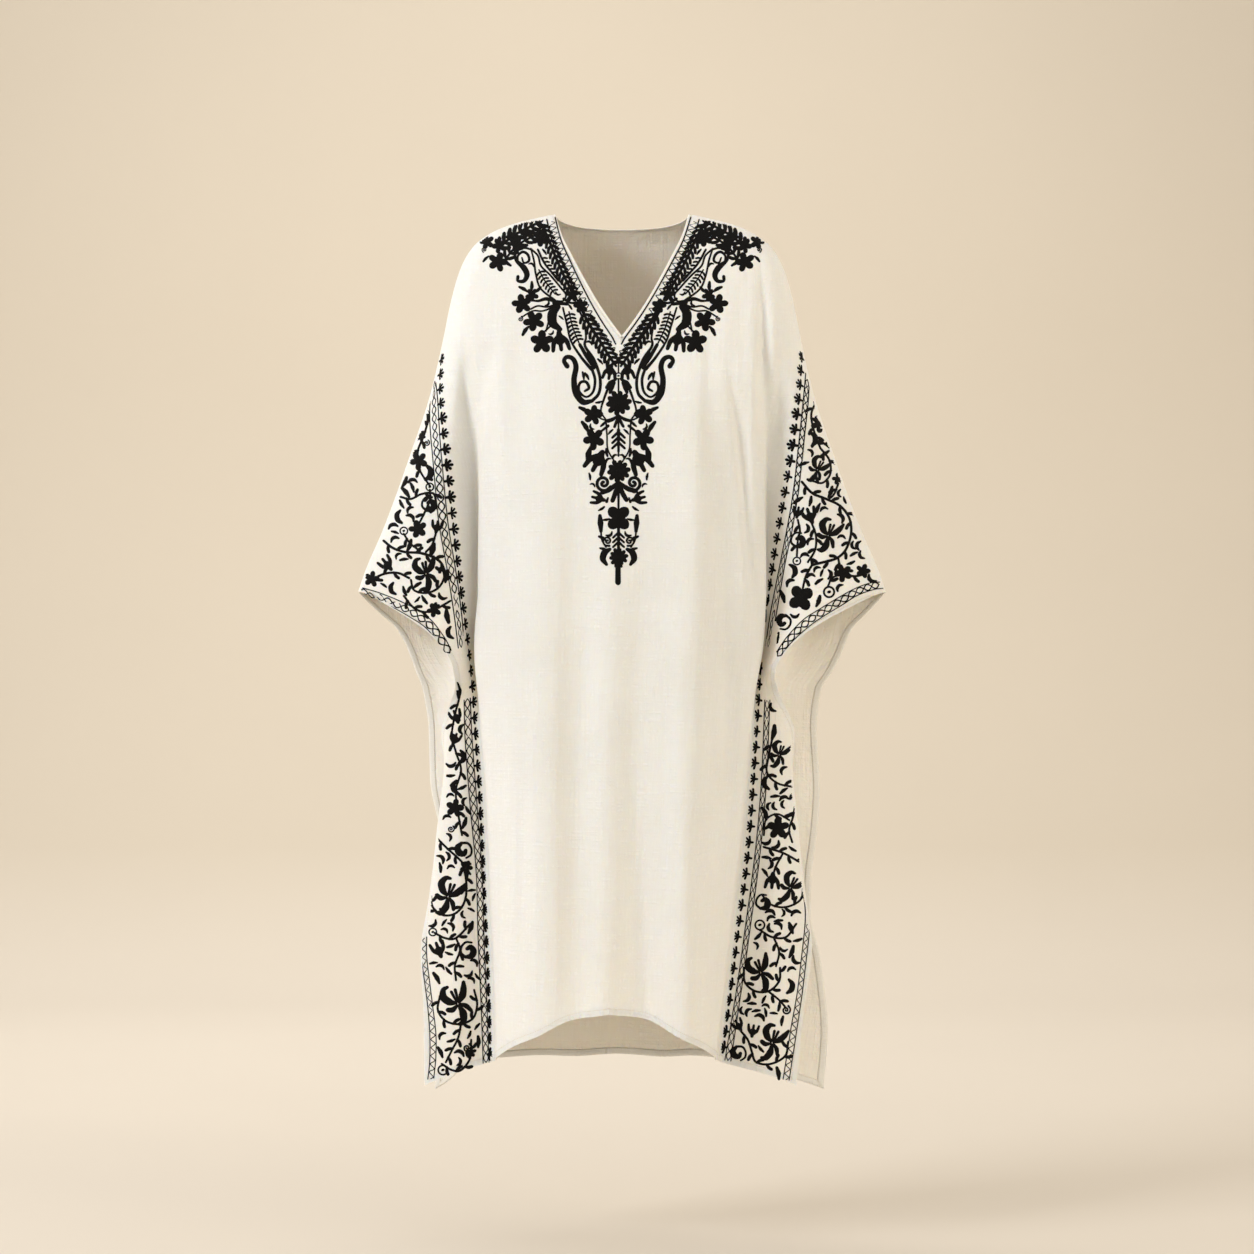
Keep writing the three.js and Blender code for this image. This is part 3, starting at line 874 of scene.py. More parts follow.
@dataclass(frozen=True)
class StudioPaper:
    """Matt paper sweep of the studio, warm white.

    Attributes:
        name: Material name.
        wall: Its colour on the wall, with painted shade: darker than on the floor, sRGB.
        floor: Its colour on the floor, with painted light: lighter than on the wall, sRGB.
    """

    name: str = "studio_paper"
    wall: str = "d4cbbb"
    floor: str = "dfd8cc"

    def build(self) -> bpy.types.Material:
        """Builds the material, with a trace of paper mottle and painted light that makes it lighter on the
        floor than on the wall.
        """
        material, tree, shader = new_material(self.name)
        place = add_node(tree, "ShaderNodeTexCoord").outputs["Object"]
        mottle = add_node(tree, "ShaderNodeTexNoise", Vector=place, Scale=1.4, Detail=2.0)
        level = add_node(
            tree, "ShaderNodeMapRange", Value=mottle.outputs[0], From_Min=0.3, From_Max=0.7,
            To_Min=0.985, To_Max=1.0
        )
        parts = add_node(tree, "ShaderNodeSeparateXYZ", i0=place)
        # Painted light: the one paper sheet is coloured lighter on the floor and darker up the wall.
        rise = add_node(
            tree, "ShaderNodeMapRange", Value=parts.outputs[2], From_Min=-1.51, From_Max=-1.2,
            To_Min=0.0, To_Max=1.0
        )
        paper = add_node(
            tree, "ShaderNodeMix", {"data_type": "RGBA"}, Factor=rise.outputs[0], i6=linear(self.floor),
            i7=linear(self.wall)
        )
        tint = add_node(
            tree, "ShaderNodeMix", {"data_type": "RGBA", "blend_type": "MULTIPLY"}, Factor=1.0,
            i6=paper.outputs[2], i7=level.outputs[0]
        )
        tree.links.new(tint.outputs[2], shader.inputs["Base Color"])
        shader.inputs["Roughness"].default_value = 0.95
        return material


# ------------------------------------------------------------------------------------------------
# Cloth
# ------------------------------------------------------------------------------------------------


@dataclass
class Panel:
    """One panel of the kaftan, as a thin shell with its weave laid out in metres.

    Attributes:
        cut: The cut and drape.
        name: Name of the piece.
        columns: Steps across half a panel; a multiple of 8, so that the side seam lies on a column.
        thickness: Thickness of the cloth in millimetres.
        row_bands: Heights and steps of the rows: start, end, count.
    """

    cut: PanelCut
    name: str
    columns: int = 80
    thickness: float = 2 * HALF_WALL
    row_bands: Rows = (
        (0, -18, 12),
        (-18, -60, 10),
        (-60, V_POINT, 26),
        (V_POINT, SLEEVE_END, 56),
        (SLEEVE_END, -700, 38),
        (-700, HEM_KNEE, 20),
        (HEM_KNEE, LONGEST, 72),
    )
    flat_size: Tuple[float, float, float] = (0.0, 0.0, 0.0)

    def rows(self) -> np.ndarray:
        """Gives the height of every row, from the top."""
        parts = [np.linspace(a, b, int(n), endpoint=False) for a, b, n in self.row_bands]
        return np.concatenate(parts + [[self.row_bands[-1][1]]])

    def grid(self, side: int) -> Tuple[np.ndarray, np.ndarray]:
        """Builds the points of half the panel.

        Args:
            side: -1 or 1.

        Returns:
            Points, rows x columns x 3 in millimetres, and the station of each.
        """
        rows = self.rows()
        first = self.cut.neck_station(rows)
        share = np.linspace(0, 1, self.columns + 1)
        station = first[:, None] + (EDGE - first[:, None]) * share[None, :]
        z = self.cut.row_height(rows[:, None], station)
        return self.cut.point(side, station, z), station

    def build(self) -> bpy.types.Object:
        """Builds the panel's shell.

        Returns:
            The panel's object.
        """
        vertices, faces, cloth_uv, edge_uv = [], [], [], []
        widest, longest, area = 0.0, 0.0, 0.0
        for side in (-1, 1):
            points, station = self.grid(side)
            steps = np.linalg.norm(np.diff(points, axis=1), axis=2)
            across = np.concatenate([np.zeros((len(points), 1)), np.cumsum(steps, axis=1)], 1)
            start = np.abs(points[:, :1, 0] - DRIFT("body", points[:, :1, 2]))
            u = side * (across + start)
            down = arc_length(points[:, 30])
            v = np.interp(-points[..., 2], -points[:, 30, 2], down)
            to_side = across[:, -1:] - across
            to_side = np.where(points[:, -1:, 2] < SLEEVE_END + 1, to_side, 500.0)
            to_hem = down[-1] - down[:, None] * np.ones_like(across)
            to_neck = np.where(start > 1.0, across, 500.0)
            edge = np.minimum(np.minimum(to_side, to_hem), to_neck)
            base = len(vertices)
            high, wide = station.shape
            vertices.extend(points.reshape(-1, 3).tolist())
            cloth_uv.extend(np.stack([u, -v], -1).reshape(-1, 2).tolist())
            edge_uv.extend(np.stack([edge, 0 * edge], -1).reshape(-1, 2).tolist())
            faces += grid_faces(base, high, wide, side * self.cut.side.value > 0)
            widest += float(across[:, -1].max() + start[int(across[:, -1].argmax()), 0])
            longest = max(longest, float(down[-1]))
            heights = np.linalg.norm(np.diff(points[:, :-1], axis=0), axis=2)
            area += float((heights * (steps[:-1] + steps[1:]) / 2).sum())
        self.flat_size = (widest * MM, longest * MM, area * MM * MM)
        obj = mesh_object(self.name, np.array(vertices) * MM, faces)
        uv_layers(obj, cloth_uv, edge_uv)
        weld = obj.modifiers.new("weld", "WELD")
        weld.merge_threshold = 1e-5
        thicken(obj, self.thickness)
        obj.data.set_sharp_from_angle(angle=math.radians(50))
        LOG.info("%s: %d faces, flat %s", self.name, len(obj.data.polygons), self.flat_size)
        return obj


# ------------------------------------------------------------------------------------------------
# Needlework
# ------------------------------------------------------------------------------------------------


class FrontCloth:
    """The outer face of the front panel, as a height over the plane that faces the viewer."""

    def __init__(self, cut: PanelCut, eye: Tuple[float, float, float], half_wall: float) -> None:
        """Samples the panel on a regular grid.

        Args:
            cut: The front panel's cut.
            eye: Viewing point in millimetres, for laying the flat drawing onto the cloth.
            half_wall: Half the cloth's thickness in millimetres.
        """
        self.eye, self.half_wall = np.array(eye), half_wall
        self.x = np.arange(-396.0, 396.1, 1.5)
        self.z = np.concatenate([np.arange(0, -60, -1.0), np.arange(-60, -1296, -2.5)])
        station = np.linspace(0, EDGE, 241)[None, :] * np.ones((len(self.z), 1))
        level = self.z[:, None] * np.ones_like(station)
        left, right = (cut.point(side, station, level) for side in (-1, 1))
        self.y = np.empty((len(self.z), len(self.x)))
        self.ends = np.empty((len(self.z), 2))
        for i in range(len(self.z)):
            xs = np.concatenate([left[i, :0:-1, 0], right[i, :, 0]])
            ys = np.concatenate([left[i, :0:-1, 1], right[i, :, 1]])
            self.y[i] = np.interp(self.x, np.maximum.accumulate(xs), ys)
            self.ends[i] = xs.min(), xs.max()

    def depth(self, x: np.ndarray, z: np.ndarray) -> np.ndarray:
        """Gives the middle of the cloth's wall at x and z, along Y."""
        fx = np.clip((x - self.x[0]) / 1.5, 0, len(self.x) - 1.001)
        fz = np.interp(-z, -self.z, np.arange(len(self.z)))
        fz = np.clip(fz, 0, len(self.z) - 1.001)
        i, j = fz.astype(int), fx.astype(int)
        a, b = fz - i, fx - j
        y = self.y
        top = y[i, j] * (1 - b) + y[i, j + 1] * b
        low = y[i + 1, j] * (1 - b) + y[i + 1, j + 1] * b
        return top * (1 - a) + low * a

    def normal(self, x: np.ndarray, z: np.ndarray) -> np.ndarray:
        """Gives the outward normal at x and z."""
        reach = 2.5
        dx = (self.depth(x + reach, z) - self.depth(x - reach, z)) / (2 * reach)
        dz = (self.depth(x, z + reach) - self.depth(x, z - reach)) / (2 * reach)
        n = np.stack([dx, -np.ones_like(dx), dz], -1)
        return n / np.linalg.norm(n, axis=-1, keepdims=True)

    def fits(
        self, points: np.ndarray, normals: np.ndarray, margin: float = 2.0, least: float = 0.4
    ) -> np.ndarray:
        """Tells which points lie on the cloth's front, clear of its edges and of where it turns away.

        Args:
            points: Points in millimetres.
            normals: Unit normals of the cloth there.
            margin: Least distance from the cloth's ends across.
            least: Least share of the normal that faces the front.

        Returns:
            A truth value for each point.
        """
        low, high = (np.interp(-points[:, 2], -self.z, self.ends[:, k]) for k in (0, 1))
        clear = (points[:, 0] > low + margin) & (points[:, 0] < high - margin)
        return clear & (-normals[:, 1] > least)

    def lay(self, flat: np.ndarray, height: np.ndarray) -> np.ndarray:
        """Lays points of the flat drawing onto the cloth.

        Args:
            flat: Points x (across, up) in millimetres on the plane through the neck points.
            height: Height of each point over the cloth's face.

        Returns:
            Points in millimetres.
        """
        eye = self.eye
        y = np.full(len(flat), -80.0)
        for _ in range(8):
            t = (y - eye[1]) / -eye[1]
            x = eye[0] + t * (flat[:, 0] - eye[0])
            z = np.minimum(eye[2] + t * (flat[:, 1] - eye[2]), -0.5)
            y = 0.35 * y + 0.65 * self.depth(x, z)
        n = self.normal(x, z)
        return np.stack([x, self.depth(x, z), z], -1) + n * (self.half_wall + height)[:, None]


@dataclass(frozen=True)
class View:
    """The level front view of 1254 x 1254 pixels in which the needlework is laid out.

    Attributes:
        pixel_mm: Size of one pixel at the neck points.
        middle: Column of pixels under the origin.
        top: Row of pixels level with the origin.
    """

    pixel_mm: float = 1.47
    middle: float = 622.0
    top: float = 215.0

    def flat(self, pixels: np.ndarray) -> np.ndarray:
        """Turns pixels (across, down) into millimetres (across, up)."""
        pixels = np.asarray(pixels, dtype=float)
        return np.stack([pixels[:, 0] - self.middle, self.top - pixels[:, 1]], -1) * self.pixel_mm


VIEW = View()
Line = Tuple[List[Point], object]


def curve_through(points: Sequence[Point], step: float) -> np.ndarray:
    """Draws a smooth curve through points.

    Args:
        points: Points that the curve passes.
        step: Spacing of the result, in the points' unit.

    Returns:
        Points along the curve.
    """
    p = np.asarray(points, dtype=float)
    if len(p) == 2:
        count = max(2, int(math.ceil(np.linalg.norm(p[1] - p[0]) / step)) + 1)
        return p[0] + (p[1] - p[0]) * np.linspace(0, 1, count)[:, None]
    closed = np.linalg.norm(p[0] - p[-1]) < 1e-6
    before = p[-2] if closed else 2 * p[0] - p[1]
    after = p[1] if closed else 2 * p[-1] - p[-2]
    q = np.vstack([before, p, after])
    out = []
    for i in range(1, len(q) - 2):
        length = np.linalg.norm(q[i + 1] - q[i])
        t = np.linspace(0, 1, max(3, int(math.ceil(length / step)) + 1))[:-1, None]
        a, b, c, d = q[i - 1], q[i], q[i + 1], q[i + 2]
        out.append(
            0.5 * (2 * b + (c - a) * t + (2 * a - 5 * b + 4 * c - d) * t**2 + (3 * b - a - 3 * c + d) * t**3)
        )
    out.append(q[-2][None, :])
    return np.vstack(out)


class Needlework:
    """Collects raised lines of stitching and turns them into one mesh."""

    PROFILE = ((-1.0, -0.35), (-0.72, 0.72), (0.0, 1.0), (0.72, 0.72), (1.0, -0.35))

    def __init__(
        self,
        lay: Callable[[np.ndarray, np.ndarray], np.ndarray],
        unit: float,
        fits: Optional[Callable[[np.ndarray, np.ndarray], np.ndarray]] = None,
    ) -> None:
        """Starts an empty piece of needlework.

        Args:
            lay: Turns drawing points and heights into points in millimetres.
            unit: Millimetres to one unit of the drawing.
            fits: Tells from points and normals which points have cloth under them.
        """
        self.lay, self.unit, self.fits = lay, unit, fits
        self.flat: List[np.ndarray] = []
        self.heights: List[np.ndarray] = []
        self.uv: List[np.ndarray] = []
        self.quads: List[np.ndarray] = []
        self.count = 0

    def line(self, points: Sequence[Point], width: object, rise: float = 0.75) -> None:
        """Adds one raised line with round ends.

        Args:
            points: Points that the line passes, in the drawing's unit.
            width: Its width, or one width to each point, in the drawing's unit.
            rise: Height of its crown in millimetres.
        """
        path = curve_through(points, 1.0)
        steps = np.linalg.norm(np.diff(path, axis=0), axis=1)
        along = np.concatenate([[0], np.cumsum(steps)])
        length = along[-1]
        if length < 1e-6:
            return
        p = np.asarray(points, dtype=float)
        if np.isscalar(width):
            widths = np.full(len(path), float(width))
        else:
            near = [int(np.argmin(np.linalg.norm(path - q, axis=1))) for q in p]
            near[0], near[-1] = 0, len(path) - 1
            widths = np.interp(along, along[near], np.asarray(width, dtype=float))
        ends = widths[[0, -1]] / 2
        first, last = path[1] - path[0], path[-1] - path[-2]
        start = path[0] - first / np.linalg.norm(first) * ends[0]
        stop = path[-1] + last / np.linalg.norm(last) * ends[1]
        path = np.vstack([start, path, stop])
        widths = np.concatenate([widths[:1], widths, widths[-1:]])
        along = arc_length(path)
        length = along[-1]
        extra = [k * ends[0] for k in (0.0, 0.08, 0.3, 0.65, 1.0)]
        extra += [length - k * ends[1] for k in (0.0, 0.08, 0.3, 0.65, 1.0)]
        inner = np.arange(ends[0], max(length - ends[1], ends[0]), 1.15)
        at = np.unique(np.round(np.clip(np.concatenate([extra, inner]), 0, length), 3))
        centre = np.stack([np.interp(at, along, path[:, k]) for k in (0, 1)], -1)
        w = np.interp(at, along, widths) / 2
        start = 1 - np.clip(at / max(ends[0], 1e-6), 0, 1)
        stop = 1 - np.clip((length - at) / max(ends[1], 1e-6), 0, 1)
        round_off = np.sqrt(np.clip(1 - np.maximum(start, stop) ** 2, 0.02, 1))
        tangent = np.gradient(centre, at, axis=0)
        tangent /= np.linalg.norm(tangent, axis=1, keepdims=True) + 1e-9
        sideways = np.stack([-tangent[:, 1], tangent[:, 0]], -1)
        rows = []
        for offset, high in self.PROFILE:
            self.flat.append(centre + sideways * (offset * w * round_off)[:, None])
            self.heights.append(np.where(high > 0, high * rise * (0.45 + 0.55 * round_off), high))
            self.uv.append(np.stack([at * self.unit * MM, np.full(len(at), (offset + 1) / 2)], -1))
            rows.append(self.count + np.arange(len(at)))
            self.count += len(at)
        for a, b in zip(rows[:-1], rows[1:]):
            self.quads.append(np.stack([a[:-1], a[1:], b[1:], b[:-1]], -1))

    def lines(self, lines: Sequence[Line], rise: float = 0.75) -> None:
        """Adds several lines, each a pair of points and width."""
        for points, width in lines:
            self.line(points, width, rise)

    def build(self, name: str) -> bpy.types.Object:
        """Turns the lines into one mesh on the cloth, with its stitch UV map."""
        flat, height, uvs = np.vstack(self.flat), np.concatenate(self.heights), np.vstack(self.uv)
        quads = np.vstack(self.quads)
        if self.fits is not None:
            face = self.lay(flat, 0 * height)
            held = self.fits(face, self.lay(flat, 0 * height + 1.0) - face)
            quads = quads[held[quads].all(1)]
            used, quads = np.unique(quads, return_inverse=True)
            quads = quads.reshape(-1, 4)
            flat, height, uvs = flat[used], height[used], uvs[used]
        points = self.lay(flat, height) * MM
        corner = points[quads]
        facing = np.cross(corner[:, 1] - corner[:, 0], corner[:, 2] - corner[:, 0])
        outside = self.lay(flat, height + 1.0) * MM - points
        wrong = (facing * outside[quads[:, 0]]).sum(1) < 0
        quads[wrong] = quads[wrong][:, ::-1]
        obj = mesh_object(name, points, quads)
        uv = obj.data.uv_layers.new(name="stitch")
        index = np.zeros(len(obj.data.loops), dtype=int)
        obj.data.loops.foreach_get("vertex_index", index)
        uv.data.foreach_set("uv", uvs[index].reshape(-1))
        LOG.info("%s: %d faces", name, len(quads))
        return obj


# ------------------------------------------------------------------------------------------------
# Motifs, drawn pointing up from their own origin, in pixels
# ------------------------------------------------------------------------------------------------


class Motif(Enum):
    """The traditional motifs of the needlework."""

    BLOSSOM = "blossom"
    ROSETTE = "rosette"
    CARNATION = "carnation"
    QUATREFOIL = "quatrefoil"
    FAN = "fan"
    TULIP = "tulip"
    SPRAY = "spray"
    IRIS = "iris"
    LEAF = "leaf"
    CURVED_LEAF = "curved_leaf"
    COMMA = "comma"
    RING = "ring"
    SPIRAL = "spiral"
    DROP = "drop"
    ARROW = "arrow"


def polar(angle: float, radius: float) -> Point:
    """Gives the point at an angle clockwise from up, in degrees."""
    return (radius * math.sin(math.radians(angle)), radius * math.cos(math.radians(angle)))


def spiral_points(radius: float, turns: float, start: float = 0.0, core: float = 0.12) -> List[Point]:
    """Gives points of a spiral that winds inwards from its rim."""
    count = int(turns * 9) + 1
    shares = [i / (count - 1) for i in range(count)]
    return [polar(start + 360 * turns * s, radius * (1 - (1 - core) * s)) for s in shares]


def motif_lines(motif: Motif) -> List[Line]:
    """Draws one motif about 10 pixels high.

    Args:
        motif: Which motif.

    Returns:
        Its lines, as points and widths.
    """
    if motif is Motif.BLOSSOM:
        petals = ((0, 3.4, 4.2), (70, 3.7, 3.8), (146, 3.2, 4.4), (215, 3.8, 3.8), (290, 3.4, 4.2))
        return [([(0, 0), polar(a, r)], [3.6, w]) for a, r, w in petals]
    if motif is Motif.ROSETTE:
        turns = range(10, 370, 36)
        scallops = [([polar(a, 1.5), polar(a, 4.1 + 0.3 * math.cos(a))], [3.0, 2.5]) for a in turns]
        return scallops + [([(-1.6, 0), (1.6, 0)], 5.6)]
    if motif is Motif.QUATREFOIL:
        lobes = [([polar(a, 1.0), polar(a, 3.0)], [4.0, 5.0]) for a in (42, 138, 222, 318)]
        return lobes + [([(0, -2.2), (0, 2.2)], 3.0)]
    if motif is Motif.FAN:
        lobes = [([(0, -3.4), polar(a, 2.6)], [2.4, 3.6]) for a in (-78, -42, 0, 42, 78)]
        return lobes + [([(0, -4.4), (0, 0)], [1.6, 4.4])]
    if motif is Motif.TULIP:
        tips = ((-4.2, 3.0), (0, 2.8), (4.2, 3.0))
        prongs = [([(0, 1), (a * 0.75, 4.5), (a, 8.6)], [2.6, w, 2.2]) for a, w in tips]
        return prongs + [([(0, 0), (0, 3.6)], [3.0, 5.8])]
    if motif is Motif.CARNATION:
        fringe = [([(0, 0), polar(a, 4.8)], [2.6, 2.3]) for a in (-84, -52, -20, 12, 44, 78)]
        return fringe + [([(0, -4.6), (0, -2.0), (0, 1.0)], [1.6, 4.4, 5.0])]
    if motif is Motif.SPRAY:
        return [([(0, 0), polar(a, 5.0), polar(a * 1.15, 8.4)], [1.6, 2.5, 2.2]) for a in (-58, -24, 12, 46)]
    if motif is Motif.IRIS:
        return [
            ([(-0.9, 0.8), (-3.6, 2.4), (-5.6, 5.6), (-4.4, 9.0), (-2.2, 9.6)], [1.8, 4.2, 4.4, 3.0, 1.8]),
            ([(0.9, 0.8), (3.4, 3.2), (5.2, 6.4), (6.2, 9.2)], [1.8, 4.2, 3.6, 2.0]),
            ([(-0.8, -0.6), (-3.4, -1.8), (-5.4, -1.2)], [1.6, 3.2, 2.8]),
            ([(0.2, -1.0), (0.8, -5.2), (-0.6, -9.0), (-2.6, -9.6)], [1.8, 4.4, 3.8, 2.0]),
            ([(1.0, -0.4), (3.4, -2.2), (4.9, -5.0)], [1.6, 3.0, 2.2]),
            ([(-0.3, 1.4), (-1.0, 6.6)], [1.3, 1.8]),
            ([(0.6, 1.8), (1.1, 7.0)], [1.3, 1.8]),
        ]
    if motif is Motif.LEAF:
        return [([(0, 0.8), (0.4, 4.6), (0, 8.4)], [2.0, 4.0, 2.6])]
    if motif is Motif.CURVED_LEAF:
        return [([(0, 0.8), (2.2, 3.2), (2.2, 6.8), (-0.4, 9.2)], [2.2, 4.2, 4.0, 2.0])]
    if motif is Motif.COMMA:
        body = [(0, -5), (3.4, -3.2), (3.8, 0.4), (1.0, 2.4), (-0.8, 0.8)]
        hook = [(0.2, -5.2), (-4.0, -3.4), (-5.0, 0.8), (-3.2, 4.6), (0.4, 5.6)]
        return [(body, [2.4, 5.0, 5.4, 4.4, 3.0]), (hook, [2.2, 1.9, 1.8, 1.7, 1.6])]
    if motif is Motif.RING:
        ring = [polar(a, 4.2) for a in range(0, 361, 40)]
        return [(ring, 1.8), ([(-0.3, 0), (0.3, 0.2)], 2.6)]
    if motif is Motif.SPIRAL:
        return [(spiral_points(4.6, 1.6), [2.4] + [2.0] * 12 + [1.8, 2.2])]
    if motif is Motif.DROP:
        return [([(0, 0), (0, 3)], [1.6, 2.6])]
    lobes = [([(0, y), (s * 3.4, y - 3.2)], [1.8, 1.6]) for y in (8, 5, 2) for s in (-1, 1)]
    return lobes + [([(0, -3), (0, 9)], [1.6, 2.2])]


def placed(
    lines: Sequence[Line], u: float, v: float, size: float = 10, turn: float = 0, flip: int = 1
) -> List[Line]:
    """Places a motif in the layout.

    Args:
        lines: The motif's lines, about 10 pixels high.
        u: Column of its origin.
        v: Row of its origin.
        size: Its height in pixels.
        turn: Degrees clockwise from up.
        flip: -1 mirrors it.

    Returns:
        The lines in pixels.
    """
    scale = size / 10
    c, s = math.cos(math.radians(turn)), math.sin(math.radians(turn))
    out = []
    for points, width in lines:
        moved = [
            (u + scale * (flip * x * c + y * s), v + scale * (flip * x * s - y * c)) for x, y in points
        ]
        wide = [w * scale for w in width] if isinstance(width, list) else width * scale
        out.append((moved, wide))
    return out


def leaflets(
    path: Sequence[Point], every: float, length: float, width: float, lean: float, sides: Sequence[int]
) -> List[Line]:
    """Sets small leaves along a stem, each side in turn.

    Args:
        path: Points of the stem.
        every: Spacing along the stem.
        length: Length of a leaf.
        width: Its width.
        lean: Angle between leaf and stem in degrees.
        sides: Which side each leaf in turn takes; 2 sets a pair.

    Returns:
        The leaves' lines.
    """
    curve = curve_through(path, 1.0)
    along = arc_length(curve)
    out: List[Line] = []
    for k, at in enumerate(np.arange(every * 0.6, along[-1] - every * 0.3, every)):
        here = np.array([np.interp(at, along, curve[:, j]) for j in (0, 1)])
        ahead = np.array([np.interp(min(at + 1, along[-1]), along, curve[:, j]) for j in (0, 1)])
        heading = math.atan2(*(ahead - here)[::-1])
        side = sides[k % len(sides)]
        for s in (-1, 1) if side == 2 else (side,):
            angle = heading + s * math.radians(lean)
            tip = here + length * np.array([math.cos(angle), math.sin(angle)])
            bend = here + 0.55 * length * np.array([math.cos(angle + 0.16 * s), math.sin(angle + 0.16 * s)])
            out.append(([tuple(here), tuple(bend), tuple(tip)], [width * 0.7, width, width * 0.9]))
    return out


# ------------------------------------------------------------------------------------------------
# Layout of the needlework, in pixels of the view. Each motif: kind, column, row, size, turn, flip.
# Each stem: its points, and its width or a width at each point.
# ------------------------------------------------------------------------------------------------

M = Motif
YOKE_MOTIFS = (
    (M.BLOSSOM, 487, 242, 12, 200),
    (M.BLOSSOM, 499, 246, 12, 120),
    (M.BLOSSOM, 512, 236, 10, 40),
    (M.CURVED_LEAF, 531, 232, 12, 80),
    (M.BLOSSOM, 498, 262, 16, 90),
    (M.SPIRAL, 484.5, 250, 5, 200),
    (M.LEAF, 489, 256, 8, 225),
    (M.LEAF, 504, 260, 9, 130),
    (M.BLOSSOM, 540, 239, 13, 30),
    (M.LEAF, 530, 237, 12, 305),
    (M.LEAF, 525, 245, 12, 240),
    (M.LEAF, 519, 240, 11, 210),
    (M.BLOSSOM, 522, 304, 16, 60),
    (M.BLOSSOM, 532, 295, 11, 180),
    (M.LEAF, 531, 292, 10, 5),
    (M.LEAF, 534, 293, 9, 50),
    (M.LEAF, 528, 292, 10, 300),
    (M.BLOSSOM, 534, 321, 17, 45),
    (M.BLOSSOM, 542, 342, 19, 0),
    (M.LEAF, 529, 326, 11, 215),
    (M.SPIRAL, 520.5, 319, 5, 20),
    (M.TULIP, 559, 333, 17, 172),
    (M.CURVED_LEAF, 558, 305, 23, 178),
    (M.BLOSSOM, 572, 295, 12, 0),
    (M.BLOSSOM, 581, 306, 12, 60),
    (M.LEAF, 584, 380, 8, 350),
    (M.LEAF, 589, 380, 8, 330),
    (M.TULIP, 611, 366, 13, 190),
    (M.LEAF, 616, 379, 13, 228),
    (M.LEAF, 615, 382, 12, 205),
)
YOKE_STEMS = (
    # the hooked scroll above the first paisley
    ([(532, 250), (524, 248), (516, 252), (516, 260), (524, 268), (527, 275), (524, 281), (518, 281),
      (518, 277)],
     [1.6, 2.2, 2.6, 3.0, 6.0, 5.6, 4.0, 3.0, 3.4]),
    ([(518, 262), (518, 256), (523, 252), (528, 255), (529, 261), (524, 263), (522, 258)],
     [1.6, 2.0, 2.4, 2.4, 2.2, 1.8, 1.4]),
    # first paisley
    ([(531, 249), (534, 261), (536, 275), (541, 289), (556, 301)], [1.4, 1.7, 1.7, 1.7, 1.8]),
    ([(531, 249), (538, 256), (541, 266), (550, 275), (561, 288), (566, 295), (563, 301), (556, 301)], 1.7),
    ([(538, 250), (545, 264), (556, 277), (568, 290)], 1.9),
    # radiating stems and the knot
    ([(559, 303), (547, 299), (538, 301), (529, 300)], [2.6, 3.8, 2.2, 1.4]),
    ([(559, 303), (548, 307), (538, 306), (531, 309)], [2.6, 1.6, 1.6, 1.6]),
    ([(556, 306), (543, 311), (533, 311), (522, 317)], [1.8, 1.5, 1.5, 1.4]),
    ([(557, 308), (550, 318), (546, 331)], [2.2, 1.5, 1.5]),
    ([(554, 314), (551, 325), (543, 333)], [1.6, 1.5, 1.5]),
    ([(556, 306), (555, 318), (558, 332)], [2.0, 1.4, 1.5]),
    ([(554, 303), (567, 304)], [3.4, 3.4]),
    ([(564, 299), (571, 303), (580, 302)], [3.0, 2.0, 2.6]),
    # second paisley and its scroll
    ([(563, 308), (567, 325), (571, 341), (581, 357), (591, 369)], [1.6, 1.8, 1.8, 2.4, 3.4]),
    ([(577, 306), (584, 322), (586, 337), (585, 346), (594, 360), (600, 378), (599, 393), (592, 401)],
     [1.6, 1.8, 1.8, 2.4, 3.2, 3.0, 3.0, 3.4]),
    ([(580, 345), (587, 357), (594, 368)], [3.4, 4.0, 3.0]),
    ([(588, 352), (595, 366)], [2.4, 2.4]),
    ([(592, 401), (583, 402), (576, 393), (574, 380), (576, 367), (573, 359), (567, 357), (564, 361),
      (567, 366)],
     [3.6, 6.0, 6.6, 5.6, 5.4, 4.8, 4.2, 4.2, 5.0]),
    ([(592, 369), (595, 380), (593, 392), (586, 397), (579, 391), (580, 383), (586, 382), (589, 388),
      (585, 391)],
     [3.0, 2.8, 2.2, 1.8, 2.4, 2.8, 3.0, 2.6, 2.0]),
    # the spines of the leaf rows beside the neck
    ([(540, 222), (548, 238), (556, 258), (565, 278), (573, 293)], [2.0, 2.6, 2.8, 2.8, 3.0]),
    ([(583, 311), (588, 322), (600, 341), (609, 356), (616, 366)], [2.4, 2.6, 2.8, 2.6, 2.0]),
    ([(603, 352), (606, 362), (607, 370)], [1.4, 1.6, 1.4]),
)
YOKE_LEAF_ROWS = (
    # stem, spacing, length, width, lean, sides
    ([(498, 250), (508, 240), (520, 232), (532, 226), (542, 221)], 6.2, 7.6, 3.9, 50, (2,)),
    ([(504, 262), (512, 251), (521, 243), (534, 236)], 6.6, 6.4, 3.3, 46, (2,)),
    ([(540, 222), (548, 238), (556, 258), (565, 278), (573, 293)], 5.6, 7.0, 2.9, 42, (2,)),
    ([(583, 311), (588, 322), (600, 341), (609, 356), (616, 366)], 5.6, 8.4, 3.1, 46, (2,)),
    ([(539, 270), (545, 281), (555, 294)], 3.8, 4.0, 2.0, 66, (2,)),
    ([(541, 256), (548, 268), (558, 281)], 4.4, 4.0, 2.0, 60, (-1, -1)),
    ([(569, 312), (573, 328), (579, 343)], 3.8, 4.4, 2.1, 70, (2,)),
)
